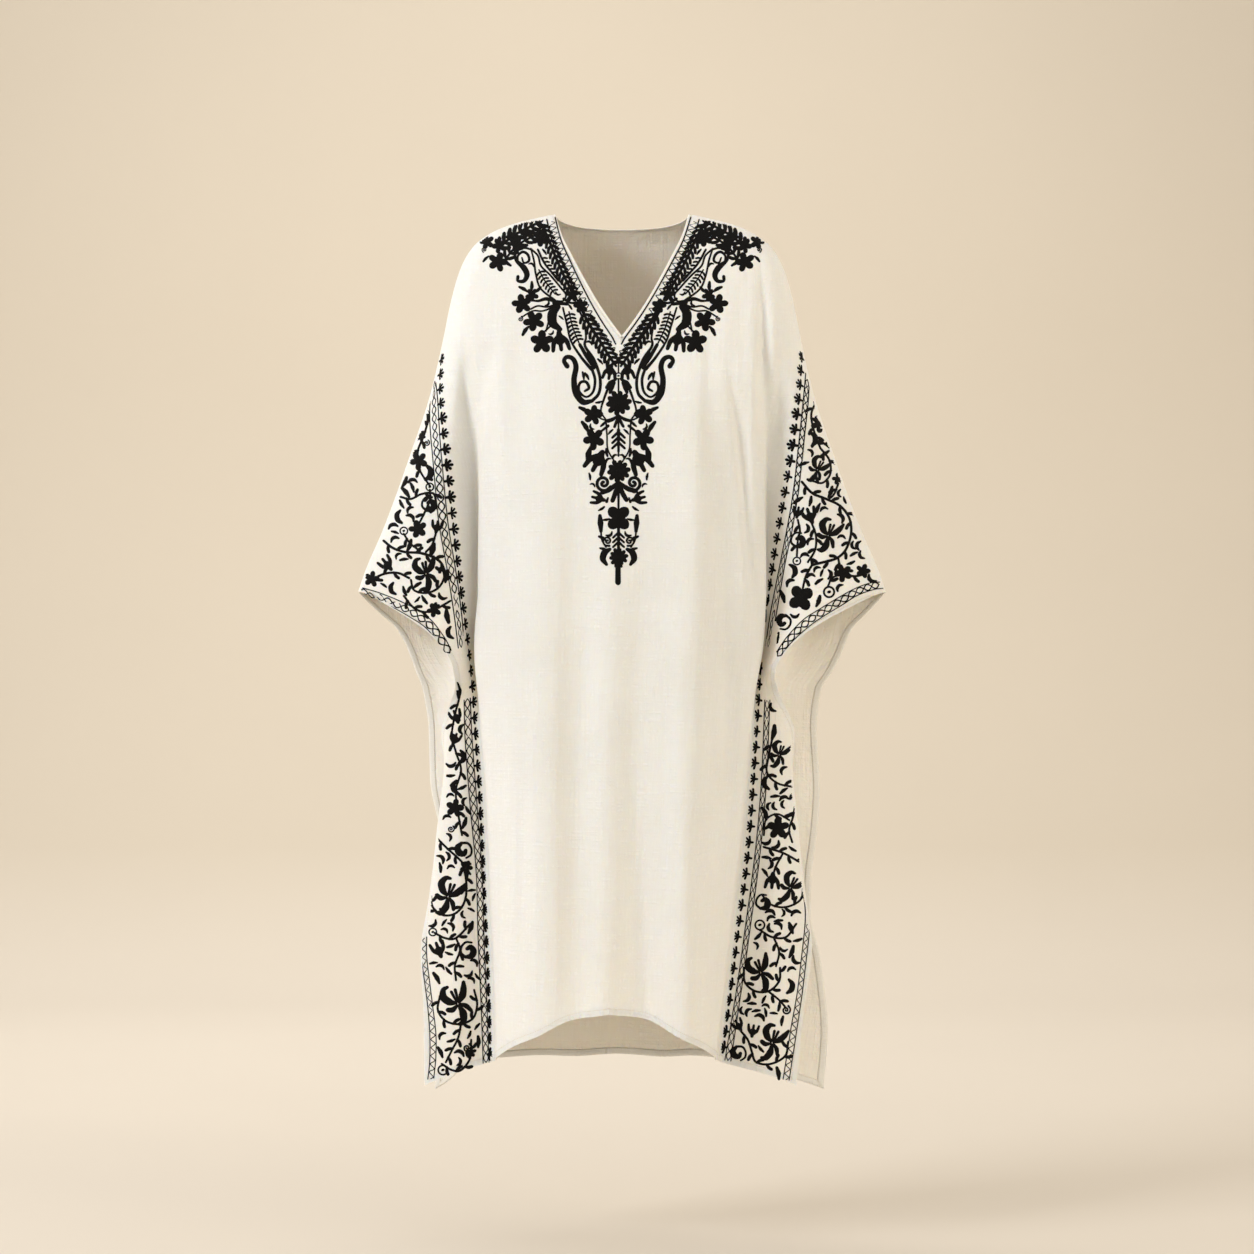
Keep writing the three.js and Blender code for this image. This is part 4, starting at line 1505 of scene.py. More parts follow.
COLUMN_MOTIFS = (
    (M.RING, 618.5, 376, 7, 0),
    (M.BLOSSOM, 593, 415, 17, 300),
    (M.LEAF, 589, 413, 12, 300),
    (M.BLOSSOM, 594, 439, 19, 330),
    (M.LEAF, 589, 433, 14, 328),
    (M.LEAF, 591, 446, 17, 192),
    (M.LEAF, 603, 414, 10, 300),
    (M.TULIP, 602, 453, 21, 208),
    (M.TULIP, 604, 500, 13, 285),
    (M.SPIRAL, 603.5, 483, 17, 120),
    (M.DROP, 608, 498, 12, 200),
    (M.LEAF, 607, 541, 10, 300),
    (M.SPIRAL, 607.5, 541, 10.5, 160),
    (M.CURVED_LEAF, 610, 548, 17, 195),
    (M.LEAF, 608, 551, 9, 290),
    (M.LEAF, 606, 448, 9, 170),
)
COLUMN_MIDDLE = (
    (M.ROSETTE, 618.5, 403, 23, 0),
    (M.ARROW, 618.5, 446, 17, 0),
    (M.SPRAY, 618.5, 415, 14, 185),
    (M.ROSETTE, 618.5, 471, 21, 0),
    (M.SPRAY, 618.5, 482, 22, 184),
    (M.QUATREFOIL, 618.5, 518, 24, 0),
    (M.ARROW, 618.5, 545, 15, 0),
    (M.ROSETTE, 618.5, 557, 17, 0),
    (M.LEAF, 618.5, 556, 12, 165),
    (M.LEAF, 618.5, 556, 12, 195),
)
COLUMN_STEMS = (
    ([(616, 379), (609, 387), (604, 399), (601, 411), (606, 420)], [2.2, 2.4, 2.0, 1.5, 1.4]),
    ([(618, 416), (606, 420), (598, 417)], [1.2, 1.4, 1.5]),
    ([(606, 420), (607, 436), (608, 450), (616, 464)], [1.6, 1.4, 1.4, 1.3]),
    ([(608, 426), (599, 433)], [2.6, 1.6]),
    ([(603, 492), (610, 489), (618, 484)], [2.4, 2.0, 2.2]),
    ([(601, 531), (602, 540), (606, 547)], [1.6, 1.5, 1.5]),
    ([(600, 516), (600.5, 523), (601, 531)], [3.6, 6.0, 3.4]),
)
COLUMN_SPINE = (
    ([(618.5, 360), (618.5, 373)], 1.2),
    ([(618.5, 379), (618.5, 392)], 1.5),
    ([(618.5, 414), (618.5, 456)], 1.5),
    ([(618.5, 480), (618.5, 508)], [3.0, 1.8]),
    ([(618.5, 528), (618.5, 566)], 2.6),
    ([(618, 563), (618, 582)], [5.0, 5.6]),
)

LEFT_BAND = (
    (M.LEAF, 427, 426, 18, 356),
    (M.BLOSSOM, 421, 437, 8, 20),
    (M.SPIRAL, 427, 443, 6, 30),
    (M.BLOSSOM, 419, 461, 15, 330),
    (M.CURVED_LEAF, 426, 481, 15, 5),
    (M.RING, 430, 487, 8, 0),
    (M.COMMA, 429, 504, 12, 20),
    (M.LEAF, 410, 498, 13, 322),
    (M.LEAF, 402, 488, 12, 25),
    (M.CURVED_LEAF, 402, 524, 13, 350, -1),
    (M.BLOSSOM, 418, 529, 15, 200),
    (M.TULIP, 436, 532, 11, 10),
    (M.RING, 404, 531, 8, 0),
    (M.LEAF, 407, 552, 13, 20),
    (M.LEAF, 431, 556, 13, 15),
    (M.TULIP, 391, 569, 13, 320),
    (M.BLOSSOM, 372, 579, 13, 300),
    (M.IRIS, 426, 574, 15, 350),
    (M.LEAF, 445, 583, 13, 10),
    (M.LEAF, 403, 586, 10, 160),
    (M.CURVED_LEAF, 393, 582, 12, 170),
    (M.BLOSSOM, 434, 610, 12, 190),
    (M.LEAF, 446, 608, 15, 170),
    (M.CURVED_LEAF, 450, 626, 12, 170),
    (M.LEAF, 459, 699, 16, 352),
    (M.TULIP, 458, 722, 12, 340),
    (M.TULIP, 453, 744, 11, 20),
    (M.CURVED_LEAF, 459, 764, 13, 10),
    (M.CURVED_LEAF, 458, 794, 13, 350, -1),
    (M.BLOSSOM, 455, 808, 15, 300),
    (M.SPIRAL, 451, 829, 7, 40),
    (M.LEAF, 462, 829, 12, 20),
    (M.COMMA, 464, 850, 13, 160),
    (M.BLOSSOM, 466, 867, 11, 170),
    (M.IRIS, 448, 897, 17, 20),
    (M.RING, 433, 932, 8, 0),
    (M.COMMA, 468, 950, 13, 20),
    (M.TULIP, 441, 956, 14, 340),
    (M.LEAF, 468, 934, 13, 20),
    (M.LEAF, 440, 984, 13, 330),
    (M.IRIS, 458, 1004, 18, 340),
    (M.LEAF, 478, 1048, 12, 0),
    (M.LEAF, 443, 1058, 12, 335),
    (M.RING, 443, 1070, 10, 0),
    (M.SPIRAL, 467, 1048, 9, 30),
    (M.BLOSSOM, 471, 1052, 9, 0),
)
LEFT_STEMS = (
    ([(427, 426), (424, 436), (418, 452), (420, 470), (430, 486)], 1.5),
    ([(401, 497), (411, 499), (422, 494), (434, 494), (436, 508)], 1.6),
    ([(430, 490), (430, 500), (424, 514), (419, 524)], 1.5),
    ([(384, 541), (393, 548), (405, 552), (420, 553), (433, 557), (441, 563), (446, 575)], 1.8),
    ([(404, 534), (410, 543), (420, 551)], 1.5),
    ([(436, 533), (432, 545), (426, 552)], 1.5),
    ([(370, 581), (384, 574), (398, 573), (409, 578)], 1.7),
    ([(411, 580), (414, 590), (426, 593), (438, 588), (444, 577), (441, 565)], 1.5),
    ([(404, 596), (413, 607), (424, 612), (436, 609), (450, 601)], 1.6),
    ([(459, 699), (455, 715), (452, 735), (456, 752), (461, 770), (456, 790), (458, 812), (462, 835)], 1.5),
    ([(437, 838), (448, 849), (461, 861), (470, 874)], 1.6),
    ([(462, 863), (466, 880), (465, 900), (456, 913), (443, 915), (433, 907), (431, 893)], 1.6),
    ([(435, 933), (445, 938), (456, 938), (470, 924)], 1.6),
    ([(456, 938), (460, 950), (455, 965), (456, 980)], 1.5),
    ([(440, 996), (438, 1010), (446, 1021), (460, 1024), (473, 1018), (477, 1004), (474, 990)], 1.6),
    ([(442, 1064), (452, 1070), (461, 1070), (470, 1058), (471, 1040)], 1.6),
    ([(461, 1024), (458, 1038), (452, 1050), (446, 1062)], 1.5),
)
RIGHT_BAND = (
    (M.LEAF, 815, 404, 17, 350),
    (M.BLOSSOM, 820, 424, 15, 40),
    (M.CURVED_LEAF, 812, 447, 14, 355),
    (M.LEAF, 820, 456, 10, 60),
    (M.LEAF, 809, 462, 9, 250),
    (M.IRIS, 817, 470, 12, 30),
    (M.LEAF, 828, 498, 12, 20),
    (M.LEAF, 803, 497, 11, 235),
    (M.LEAF, 820, 503, 10, 200),
    (M.BLOSSOM, 838, 479, 10, 60),
    (M.TULIP, 812, 522, 14, 340),
    (M.TULIP, 797, 517, 10, 10),
    (M.IRIS, 828, 536, 15, 20),
    (M.COMMA, 798, 540, 12, 20),
    (M.RING, 797, 561, 8, 0),
    (M.CURVED_LEAF, 793, 578, 13, 350),
    (M.BLOSSOM, 843, 573, 15, 120),
    (M.BLOSSOM, 863, 571, 12, 90),
    (M.RING, 829, 592, 11, 0),
    (M.QUATREFOIL, 801, 598, 22, 10),
    (M.LEAF, 785, 603, 13, 340),
    (M.LEAF, 816, 607, 12, 20),
    (M.COMMA, 784, 622, 12, 200),
    (M.LEAF, 779, 632, 11, 190),
    (M.LEAF, 772, 740, 15, 10),
    (M.IRIS, 779, 755, 12, 20),
    (M.CURVED_LEAF, 769, 790, 13, 350, -1),
    (M.LEAF, 793, 815, 12, 20),
    (M.BLOSSOM, 778, 828, 18, 0),
    (M.LEAF, 768, 818, 12, 330),
    (M.TULIP, 773, 874, 14, 185),
    (M.IRIS, 790, 888, 14, 30),
    (M.COMMA, 763, 902, 12, 20),
    (M.RING, 760, 925, 10, 0),
    (M.LEAF, 789, 958, 13, 20),
    (M.LEAF, 793, 934, 12, 340),
    (M.IRIS, 761, 973, 16, 340),
    (M.CURVED_LEAF, 787, 994, 14, 10),
    (M.SPIRAL, 786, 1010, 9, 30),
    (M.TULIP, 741, 1030, 11, 330),
    (M.TULIP, 752, 1036, 11, 10),
    (M.IRIS, 772, 1043, 16, 20),
    (M.COMMA, 739, 1053, 12, 160),
    (M.LEAF, 779, 1080, 13, 350),
)
RIGHT_STEMS = (
    ([(815, 403), (811, 415), (814, 432), (820, 448)], 1.5),
    ([(812, 447), (819, 441), (832, 450)], 1.5),
    ([(820, 448), (829, 460), (830, 474), (822, 483), (810, 480)], 1.5),
    ([(802, 482), (812, 493), (826, 499), (840, 506), (849, 518), (851, 533), (846, 549), (837, 558),
      (824, 562), (812, 565)], 1.8),
    ([(838, 484), (834, 494), (829, 499)], 1.5),
    ([(798, 520), (800, 531), (798, 540), (797, 556)], 1.5),
    ([(812, 524), (816, 536), (815, 550), (808, 562)], 1.5),
    ([(812, 565), (806, 576), (803, 588)], 1.6),
    ([(838, 558), (841, 568), (852, 576), (866, 574)], 1.6),
    ([(828, 586), (832, 578), (842, 574)], 1.4),
    ([(772, 740), (769, 755), (767, 772), (777, 783), (793, 787)], 1.5),
    ([(793, 787), (795, 800), (793, 816), (789, 830), (792, 842)], 1.5),
    ([(764, 835), (766, 820), (777, 814), (789, 820)], 1.4),
    ([(764, 847), (783, 853), (801, 863)], 1.6),
    ([(783, 853), (776, 866), (773, 876)], 1.5),
    ([(763, 896), (772, 905), (786, 907), (800, 900), (803, 887)], 1.5),
    ([(760, 930), (772, 937), (786, 937), (796, 924)], 1.6),
    ([(774, 938), (779, 952), (776, 966)], 1.5),
    ([(744, 968), (745, 982), (755, 991), (769, 991), (779, 981), (780, 968)], 1.6),
    ([(768, 991), (779, 1000), (786, 1008)], 1.5),
    ([(741, 1031), (748, 1040), (752, 1052), (756, 1062), (770, 1064), (785, 1056), (788, 1042)], 1.6),
)


@dataclass(frozen=True)
class Border:
    """A narrow border between two lines, filled with a wavy chain.

    Attributes:
        first: One line, in view squares.
        second: The other line.
        laced: Whether two waves cross between them, or one alone.
    """

    first: Sequence[Point]
    second: Sequence[Point]
    laced: bool = True


BORDERS = (
    Border(
        [(434, 383), (431, 398), (430, 416), (431, 436), (433, 458), (437, 506), (440, 530),
         (448, 576), (454, 616), (458, 648)],
        [(436, 381), (438, 400), (439, 418), (440, 436), (442, 462), (446, 506), (449, 532),
         (456, 574), (461, 612), (464, 646)],
    ),
    Border(
        [(464, 700), (465, 740), (470, 807), (476, 873), (478, 940), (481, 1007), (483, 1063)],
        [(470, 698), (472, 740), (477, 807), (482, 873), (484, 940), (487, 1007), (489, 1062)],
    ),
    Border(
        [(806, 366), (803, 400), (800, 430), (797, 460), (793, 495), (787, 530), (780, 566),
         (771, 612), (766, 646)],
        [(809, 372), (808, 400), (805, 430), (802, 460), (798, 495), (792, 532), (786, 560),
         (777, 612), (771, 648)],
    ),
    Border(
        [(765, 700), (762, 773), (758, 827), (752, 880), (746, 923), (741, 960), (735, 1000), (725, 1060)],
        [(770, 700), (767, 773), (763, 827), (757, 880), (751, 923), (746, 960), (740, 1000), (731, 1061)],
    ),
    Border(
        [(363, 588), (380, 593), (400, 601), (416, 609), (431, 620), (444, 637), (451, 650)],
        [(361, 595), (376, 600), (394, 608), (410, 617), (425, 627), (438, 642), (446, 656)],
    ),
    Border(
        [(882, 582), (870, 583), (854, 589), (836, 599), (818, 610), (803, 620), (788, 636), (777, 652)],
        [(885, 588), (872, 590), (856, 596), (840, 606), (822, 617), (807, 628), (790, 644), (779, 660)],
    ),
    Border(
        [(427, 937), (427, 957), (430, 983), (433, 1007), (436, 1033), (436, 1057), (434, 1078)],
        [(422, 940), (422, 960), (425, 983), (428, 1007), (430, 1033), (430, 1060), (428, 1079)],
        laced=False,
    ),
    Border(
        [(803, 893), (805, 913), (804, 933), (801, 960), (797, 993), (791, 1027), (786, 1060), (783, 1079)],
        [(807, 893), (810, 913), (809, 933), (806, 960), (802, 993), (797, 1027), (792, 1060), (789, 1080)],
        laced=False,
    ),
)
FLOWER_ROWS = (
    [(442, 353), (440, 387), (443, 433), (450, 499), (457, 564), (463, 611), (468, 650), (473, 703),
     (480, 813), (485, 917), (489, 1013), (490, 1062)],
    [(723, 1055), (737, 943), (749, 848), (758, 719), (763, 650), (768, 602), (779, 532), (791, 462),
     (799, 400),
     (802, 352)],
)
FLOWER_SPACING = 15.8


# The grounds that small leaves fill, as outlines in pixels.
LEFT_SLEEVE_GROUND = (
    (433, 402), (431, 440), (434, 490), (440, 545), (450, 606), (452, 636), (444, 628), (426, 608),
    (403, 596),
    (371, 584), (389, 537), (411, 478), (423, 448), (431, 420),
)
LEFT_SIDE_GROUND = (
    (463, 702), (463, 740), (468, 807), (474, 873), (476, 940), (479, 1007), (480, 1058), (450, 1066),
    (439, 1066),
    (440, 1030), (434, 980), (432, 930), (436, 890), (443, 840), (449, 790), (452, 740), (457, 702),
)
RIGHT_SLEEVE_GROUND = (
    (812, 402), (811, 430), (806, 470), (800, 510), (792, 560), (783, 606), (778, 638), (786, 628),
    (800, 612),
    (830, 596), (874, 578), (859, 537), (845, 497), (825, 448), (816, 420),
)
RIGHT_SIDE_GROUND = (
    (773, 706), (770, 773), (766, 830), (760, 890), (753, 940), (746, 985), (738, 1035), (734, 1056),
    (779, 1070),
    (785, 1040), (793, 985), (799, 940), (800, 890), (796, 850), (791, 800), (783, 740),
)
YOKE_GROUND = (
    (500, 240), (545, 226), (566, 270), (590, 315), (612, 360), (618, 395), (600, 395), (588, 352),
    (566, 350),
    (546, 344), (520, 318), (528, 292), (540, 290), (530, 262), (506, 262),
)
COLUMN_GROUND = ((586, 410), (616, 386), (616, 560), (604, 556), (598, 500), (586, 470))


@dataclass
class Embroidery:
    """All the needlework of the front: yoke, column, sleeve and side bands, borders and small flowers.

    Attributes:
        cloth: The cloth under it.
        view: The front view of the layout.
        v_middle: Column of the neck opening's middle at its top and at its point.
        loop_mm: Length of one wave of the chain.
        stem_weight: Weight of the bands' stems.
        line_weight: Weight of the yoke's thin lines.
        yoke_size: Size of the motifs of the yoke and column.
        band_size: Size of the motifs of the bands.
        column_size: Size of the motifs beside the middle column.
        spine_size: Size of the motifs on the middle column.
        leaf_row: Shares for the yoke's leaf rows: stem width, leaf length, leaf width.
        heavy_line: Width from which a line counts as heavy.
        heavy_weight: Weight of the heavy lines.
        yoke_fill: Spacing, room and length of the yoke's filling leaves.
        band_fill: The same for the bands.
        vine_leaf: Spacing, length, width and lean of the leaves on the bands' stems.
        laced_stretch: Length of a laced wave to that of a plain one.
        border_weight: Width of the border lines.
    """

    cloth: FrontCloth
    view: View = VIEW
    v_middle: Tuple[float, float] = (623.0, 618.5)
    loop_mm: float = 12.0
    stem_weight: float = 1.6
    line_weight: float = 1.32
    yoke_size: float = 1.14
    band_size: float = 1.12
    column_size: float = 1.06
    spine_size: float = 1.04
    leaf_row: Tuple[float, float, float] = (0.8, 1.14, 1.26)
    heavy_line: float = 2.7
    heavy_weight: float = 1.14
    yoke_fill: Tuple[float, float, float] = (3.2, 2.0, 7.2)
    band_fill: Tuple[float, float, float] = (4.5, 3.5, 9.6)
    vine_leaf: Tuple[float, float, float, float] = (10.0, 6.8, 4.0, 48)
    laced_stretch: float = 2.3
    border_weight: float = 1.05

    def place(self, pixels: np.ndarray, height: np.ndarray) -> np.ndarray:
        """Lays pixels of the layout onto the cloth."""
        return self.cloth.lay(self.view.flat(pixels), height)

    def motifs(self, rows: Sequence, larger: float = 1.0) -> List[Line]:
        """Draws the motifs of a layout, all larger by one share."""
        lines: List[Line] = []
        for kind, u, v, size, *rest in rows:
            lines += placed(motif_lines(kind), u, v, size * larger, *rest)
        return lines

    def mirror(self, lines: Sequence[Line]) -> List[Line]:
        """Mirrors lines about the neck opening's middle line, which leans a little."""
        top, point = self.v_middle

        def axis(row: float) -> float:
            """Gives the middle's column at a row."""
            return top + (point - top) * min(max((row - self.view.top) / 130, 0), 1)

        return [([(2 * axis(y) - x, y) for x, y in points], width) for points, width in lines]

    def yoke(self) -> List[Line]:
        """Draws both halves of the yoke and the middle column."""
        half = self.motifs(YOKE_MOTIFS, self.yoke_size) + self.bold(YOKE_STEMS)
        stem, longer, wider = self.leaf_row
        for path, every, length, width, lean, sides in YOKE_LEAF_ROWS:
            half.append((path, width * stem))
            half += leaflets(path, every, length * longer, width * wider, lean, sides)
        half += self.motifs(COLUMN_MOTIFS, self.column_size) + self.bold(COLUMN_STEMS)
        middle = self.motifs(COLUMN_MIDDLE, self.spine_size) + self.bold(COLUMN_SPINE)
        for ground in (YOKE_GROUND, COLUMN_GROUND):
            half += self.fill(half + middle, ground, *self.yoke_fill)
        return half + self.mirror(half) + middle

    def bold(self, lines: Sequence[Line]) -> List[Line]:
        """Thickens lines, the thin ones the most."""
        out: List[Line] = []
        for points, width in lines:
            widths = width if isinstance(width, list) else [width]
            thick = [w * (self.line_weight if w < self.heavy_line else self.heavy_weight) for w in widths]
            out.append((points, thick if isinstance(width, list) else thick[0]))
        return out

    def worked(self, name: str, lines: Sequence[Line], rise: float = 0.75) -> bpy.types.Object:
        """Works lines onto the cloth as one piece."""
        work = Needlework(self.place, self.view.pixel_mm, self.cloth.fits)
        work.lines(lines, rise)
        return work.build(name)

    def fill(
        self, lines: List[Line], ground: Sequence[Point], every: float, room: float, length: float
    ) -> List[Line]:
        """Fills what is left of a ground with small leaves.

        Args:
            lines: What is drawn already.
            ground: Outline of the ground.
            every: Spacing of the trial places.
            room: Least distance of a leaf's middle from every line.
            length: Length of a leaf.

        Returns:
            The leaves.
        """
        rng = np.random.default_rng(11)
        taken = []
        for points, width in lines:
            path = curve_through(points, 2.0)
            widest = max(width) if isinstance(width, list) else width
            taken.append(np.column_stack([path, np.full(len(path), widest / 2)]))
        taken = np.vstack(taken)
        outline = np.array(ground, dtype=float)
        low, high = outline.min(0), outline.max(0)
        out: List[Line] = []
        for v in np.arange(low[1], high[1], every):
            for u in np.arange(low[0], high[0], every):
                here = np.array([u, v]) + rng.uniform(-0.35, 0.35, 2) * every
                bend, kind = rng.choice([-1, 1]), rng.uniform()
                gaps = np.linalg.norm(taken[:, :2] - here, axis=1) - taken[:, 2]
                if gaps.min() < room or not self.inside(here, outline):
                    continue
                from_stem = here - taken[gaps.argmin(), :2]
                turn = math.degrees(math.atan2(from_stem[0], -from_stem[1])) + bend * rng.uniform(25, 50)
                shape = motif_lines(M.CURVED_LEAF if kind < 0.55 else M.LEAF)
                size = length * rng.uniform(0.85, 1.2)
                away = math.radians(turn)
                start = here - size / 2 * np.array([math.sin(away), -math.cos(away)])
                leaf = placed(shape, start[0], start[1], size, turn, int(bend))
                out += leaf
                path = curve_through(leaf[0][0], 2.0)
                taken = np.vstack([taken, np.column_stack([path, np.full(len(path), 1.6)])])
        return out

    @staticmethod
    def inside(point: np.ndarray, outline: np.ndarray) -> bool:
        """Tells whether a point lies inside an outline."""
        x, y = point
        hit = False
        for (x0, y0), (x1, y1) in zip(outline, np.roll(outline, -1, axis=0)):
            if (y0 > y) != (y1 > y) and x < x0 + (y - y0) / (y1 - y0) * (x1 - x0):
                hit = not hit
        return hit

    def band(self, motifs: Sequence, stems: Sequence[Line], grounds: Sequence) -> List[Line]:
        """Draws a band: its motifs and stems, with small leaves between."""
        lines = self.motifs(motifs, self.band_size) + self.vines(stems)
        for ground in grounds:
            lines += self.fill(lines, ground, *self.band_fill)
        return lines

    def vines(self, stems: Sequence[Line]) -> List[Line]:
        """Draws stems with small leaves to either side."""
        lines: List[Line] = []
        for path, width in stems:
            lines.append((path, width * self.stem_weight))
            lines += leaflets(path, *self.vine_leaf, (1, -1))
        return lines

    def neck_lines(self) -> Tuple[List[Line], List[np.ndarray]]:
        """Draws the two lines round the neck opening and the middle line of the waves between them.

        Returns:
            The lines, and the middle lines, in pixels.
        """
        lines, middles = [], []
        rows = np.linspace(2, 128, 22)
        for side in (-1, 1):
            reach = V_NECK("x", -rows * self.view.pixel_mm) / self.view.pixel_mm
            columns = self.v_middle[0] + (self.v_middle[1] - self.v_middle[0]) * rows / 128
            inner = np.stack([columns + side * (reach - 1.8), rows + self.view.top + 1.0], -1)
            outer = np.stack([columns + side * (reach + 6.6), rows + self.view.top + 3.0], -1)
            outer[:, 1] += 18 * smoothstep(rows, 50, 128)
            outer[:, 0] -= side * 6.6 * smoothstep(rows, 84, 128)
            inner[:, 0] += side * 1.8 * smoothstep(rows, 120, 128)
            lines += [(inner.tolist(), 1.5), (outer.tolist(), 1.5)]
            middles.append((inner + outer) / 2)
        return lines, middles


@dataclass
class Repeat:
    """Sets one small shape again and again along paths on the cloth, by Geometry Nodes.

    Attributes:
        name: Name of the piece.
        unit: The small shape, flat in X and Y with its face up.
        material: Its finish.
        uneven: Share by which the copies differ in size.
        seed: Seed of that difference.
    """

    name: str
    unit: bpy.types.Object
    material: bpy.types.Material
    uneven: float = 0.06
    seed: int = 7

    def tree(self) -> bpy.types.NodeTree:
        """Builds the node tree that sets the shape on each point."""
        tree = bpy.data.node_groups.new(self.name + "_layout", "GeometryNodeTree")
        face = tree.interface
        face.new_socket("Geometry", in_out="INPUT", socket_type="NodeSocketGeometry")
        face.new_socket("Shape", in_out="INPUT", socket_type="NodeSocketObject")
        face.new_socket("Size", in_out="INPUT", socket_type="NodeSocketFloat")
        face.new_socket("Uneven", in_out="INPUT", socket_type="NodeSocketFloat")
        face.new_socket("Geometry", in_out="OUTPUT", socket_type="NodeSocketGeometry")
        given = tree.nodes.new("NodeGroupInput").outputs
        shape = add_node(tree, "GeometryNodeObjectInfo", Object=given["Shape"])
        vector = {"data_type": "FLOAT_VECTOR"}
        normal = add_node(tree, "GeometryNodeInputNamedAttribute", vector, Name="face_normal")
        along = add_node(tree, "GeometryNodeInputNamedAttribute", vector, Name="along")
        stretch = add_node(tree, "GeometryNodeInputNamedAttribute", vector, Name="stretch")
        turn = add_node(
            tree, "FunctionNodeAxesToRotation", {"primary_axis": "Z", "secondary_axis": "X"},
            i0=normal.outputs[0], i1=along.outputs[0]
        )
        size, uneven = given["Size"], given["Uneven"]
        low = add_node(tree, "ShaderNodeMath", {"operation": "SUBTRACT"}, i0=size, i1=uneven)
        high = add_node(tree, "ShaderNodeMath", {"operation": "ADD"}, i0=size, i1=uneven)
        jitter = add_node(
            tree, "FunctionNodeRandomValue", {"data_type": "FLOAT"}, i2=low.outputs[0],
            i3=high.outputs[0], Seed=self.seed
        )
        size = add_node(
            tree, "ShaderNodeVectorMath", {"operation": "SCALE"}, i0=stretch.outputs[0],
            Scale=jitter.outputs[1]
        )
        copies = add_node(
            tree, "GeometryNodeInstanceOnPoints", Points=given["Geometry"],
            Instance=shape.outputs["Geometry"], Rotation=turn.outputs[0], Scale=size.outputs[0]
        )
        real = add_node(tree, "GeometryNodeRealizeInstances", Geometry=copies.outputs[0])
        dressed = add_node(tree, "GeometryNodeSetMaterial", Geometry=real.outputs[0], Material=self.material)
        result = tree.nodes.new("NodeGroupOutput")
        tree.links.new(dressed.outputs[0], result.inputs[0])
        return tree

    def build(self, stations: Sequence[Station]) -> bpy.types.Object:
        """Sets the shape at every station.

        Args:
            stations: For each path its points in millimetres, normals, directions and stretches.

        Returns:
            The plain mesh.
        """
        points, normals, along, stretch = (np.vstack([s[k] for s in stations]) for k in range(4))
        obj = mesh_object(self.name, points * MM, [])
        for key, values in (("face_normal", normals), ("along", along), ("stretch", stretch)):
            layer = obj.data.attributes.new(key, "FLOAT_VECTOR", "POINT")
            layer.data.foreach_set("vector", np.ascontiguousarray(values, dtype=np.float32).reshape(-1))
        tree = self.tree()
        layout = obj.modifiers.new("layout", "NODES")
        layout.node_group = tree
        sockets = {item.name: item.identifier for item in tree.interface.items_tree if item.in_out == "INPUT"}
        layout[sockets["Shape"]] = self.unit
        layout[sockets["Size"]] = 1.0
        layout[sockets["Uneven"]] = self.uneven
        obj.data.update()
        apply_modifiers(obj)
        bpy.data.objects.remove(self.unit)
        LOG.info("%s: %d copies, %d faces", self.name, len(points), len(obj.data.polygons))
        return obj


def flat_work(name: str, lines: Sequence[Line], rise: float) -> bpy.types.Object:
    """Works lines in millimetres on a flat ground, as the unit of a repeat."""

    def lay(flat: np.ndarray, height: np.ndarray) -> np.ndarray:
        """Stands the lines on the XY plane."""
        return np.column_stack([flat, height])

    work = Needlework(lay, 1.0)
    work.lines(lines, rise)
    return work.build(name)


def evenly(points: np.ndarray, every: float, margin: float = 0.0) -> np.ndarray:
    """Gives points evenly spaced along a line of points; the first three columns are its place."""
    along = arc_length(points[:, :3])
    count = max(2, int(round((along[-1] - 2 * margin) / every)) + 1)
    at = np.linspace(margin, along[-1] - margin, count)
    return np.stack([np.interp(at, along, points[:, k]) for k in range(points.shape[1])], -1)


def thread_line(line: np.ndarray, normals: np.ndarray, every: float, margin: float) -> Station:
    """Spaces plain stitches along a line of points with their normals."""
    both = evenly(np.hstack([line, normals]), every, margin)
    return both[:, :3], both[:, 3:], np.gradient(both[:, :3], axis=0), np.ones((len(both), 3))


def stations_on_cloth(work: Embroidery, path: np.ndarray, every: float, across: np.ndarray) -> Station:
    """Spaces points along a path of the layout that lies on the cloth.

    Args:
        work: The embroidery, with its cloth and view.
        path: Pixels along the path.
        every: Spacing in millimetres.
        across: Scale of the unit across the path, at each point of it.

    Returns:
        Points, normals, directions and stretches.
    """
    fine = np.column_stack([work.place(path, np.full(len(path), -0.05)), across])
    points = evenly(fine, every, every / 2)
    normals = work.cloth.normal(points[:, 0], points[:, 2])
    along = np.gradient(points[:, :3], axis=0)
    held = work.cloth.fits(points[:, :3], normals, 2.5, 0.3)
    stretch = np.stack([np.ones(len(points)), points[:, 3], np.ones(len(points))], -1)
    return points[held, :3], normals[held], along[held], stretch[held]


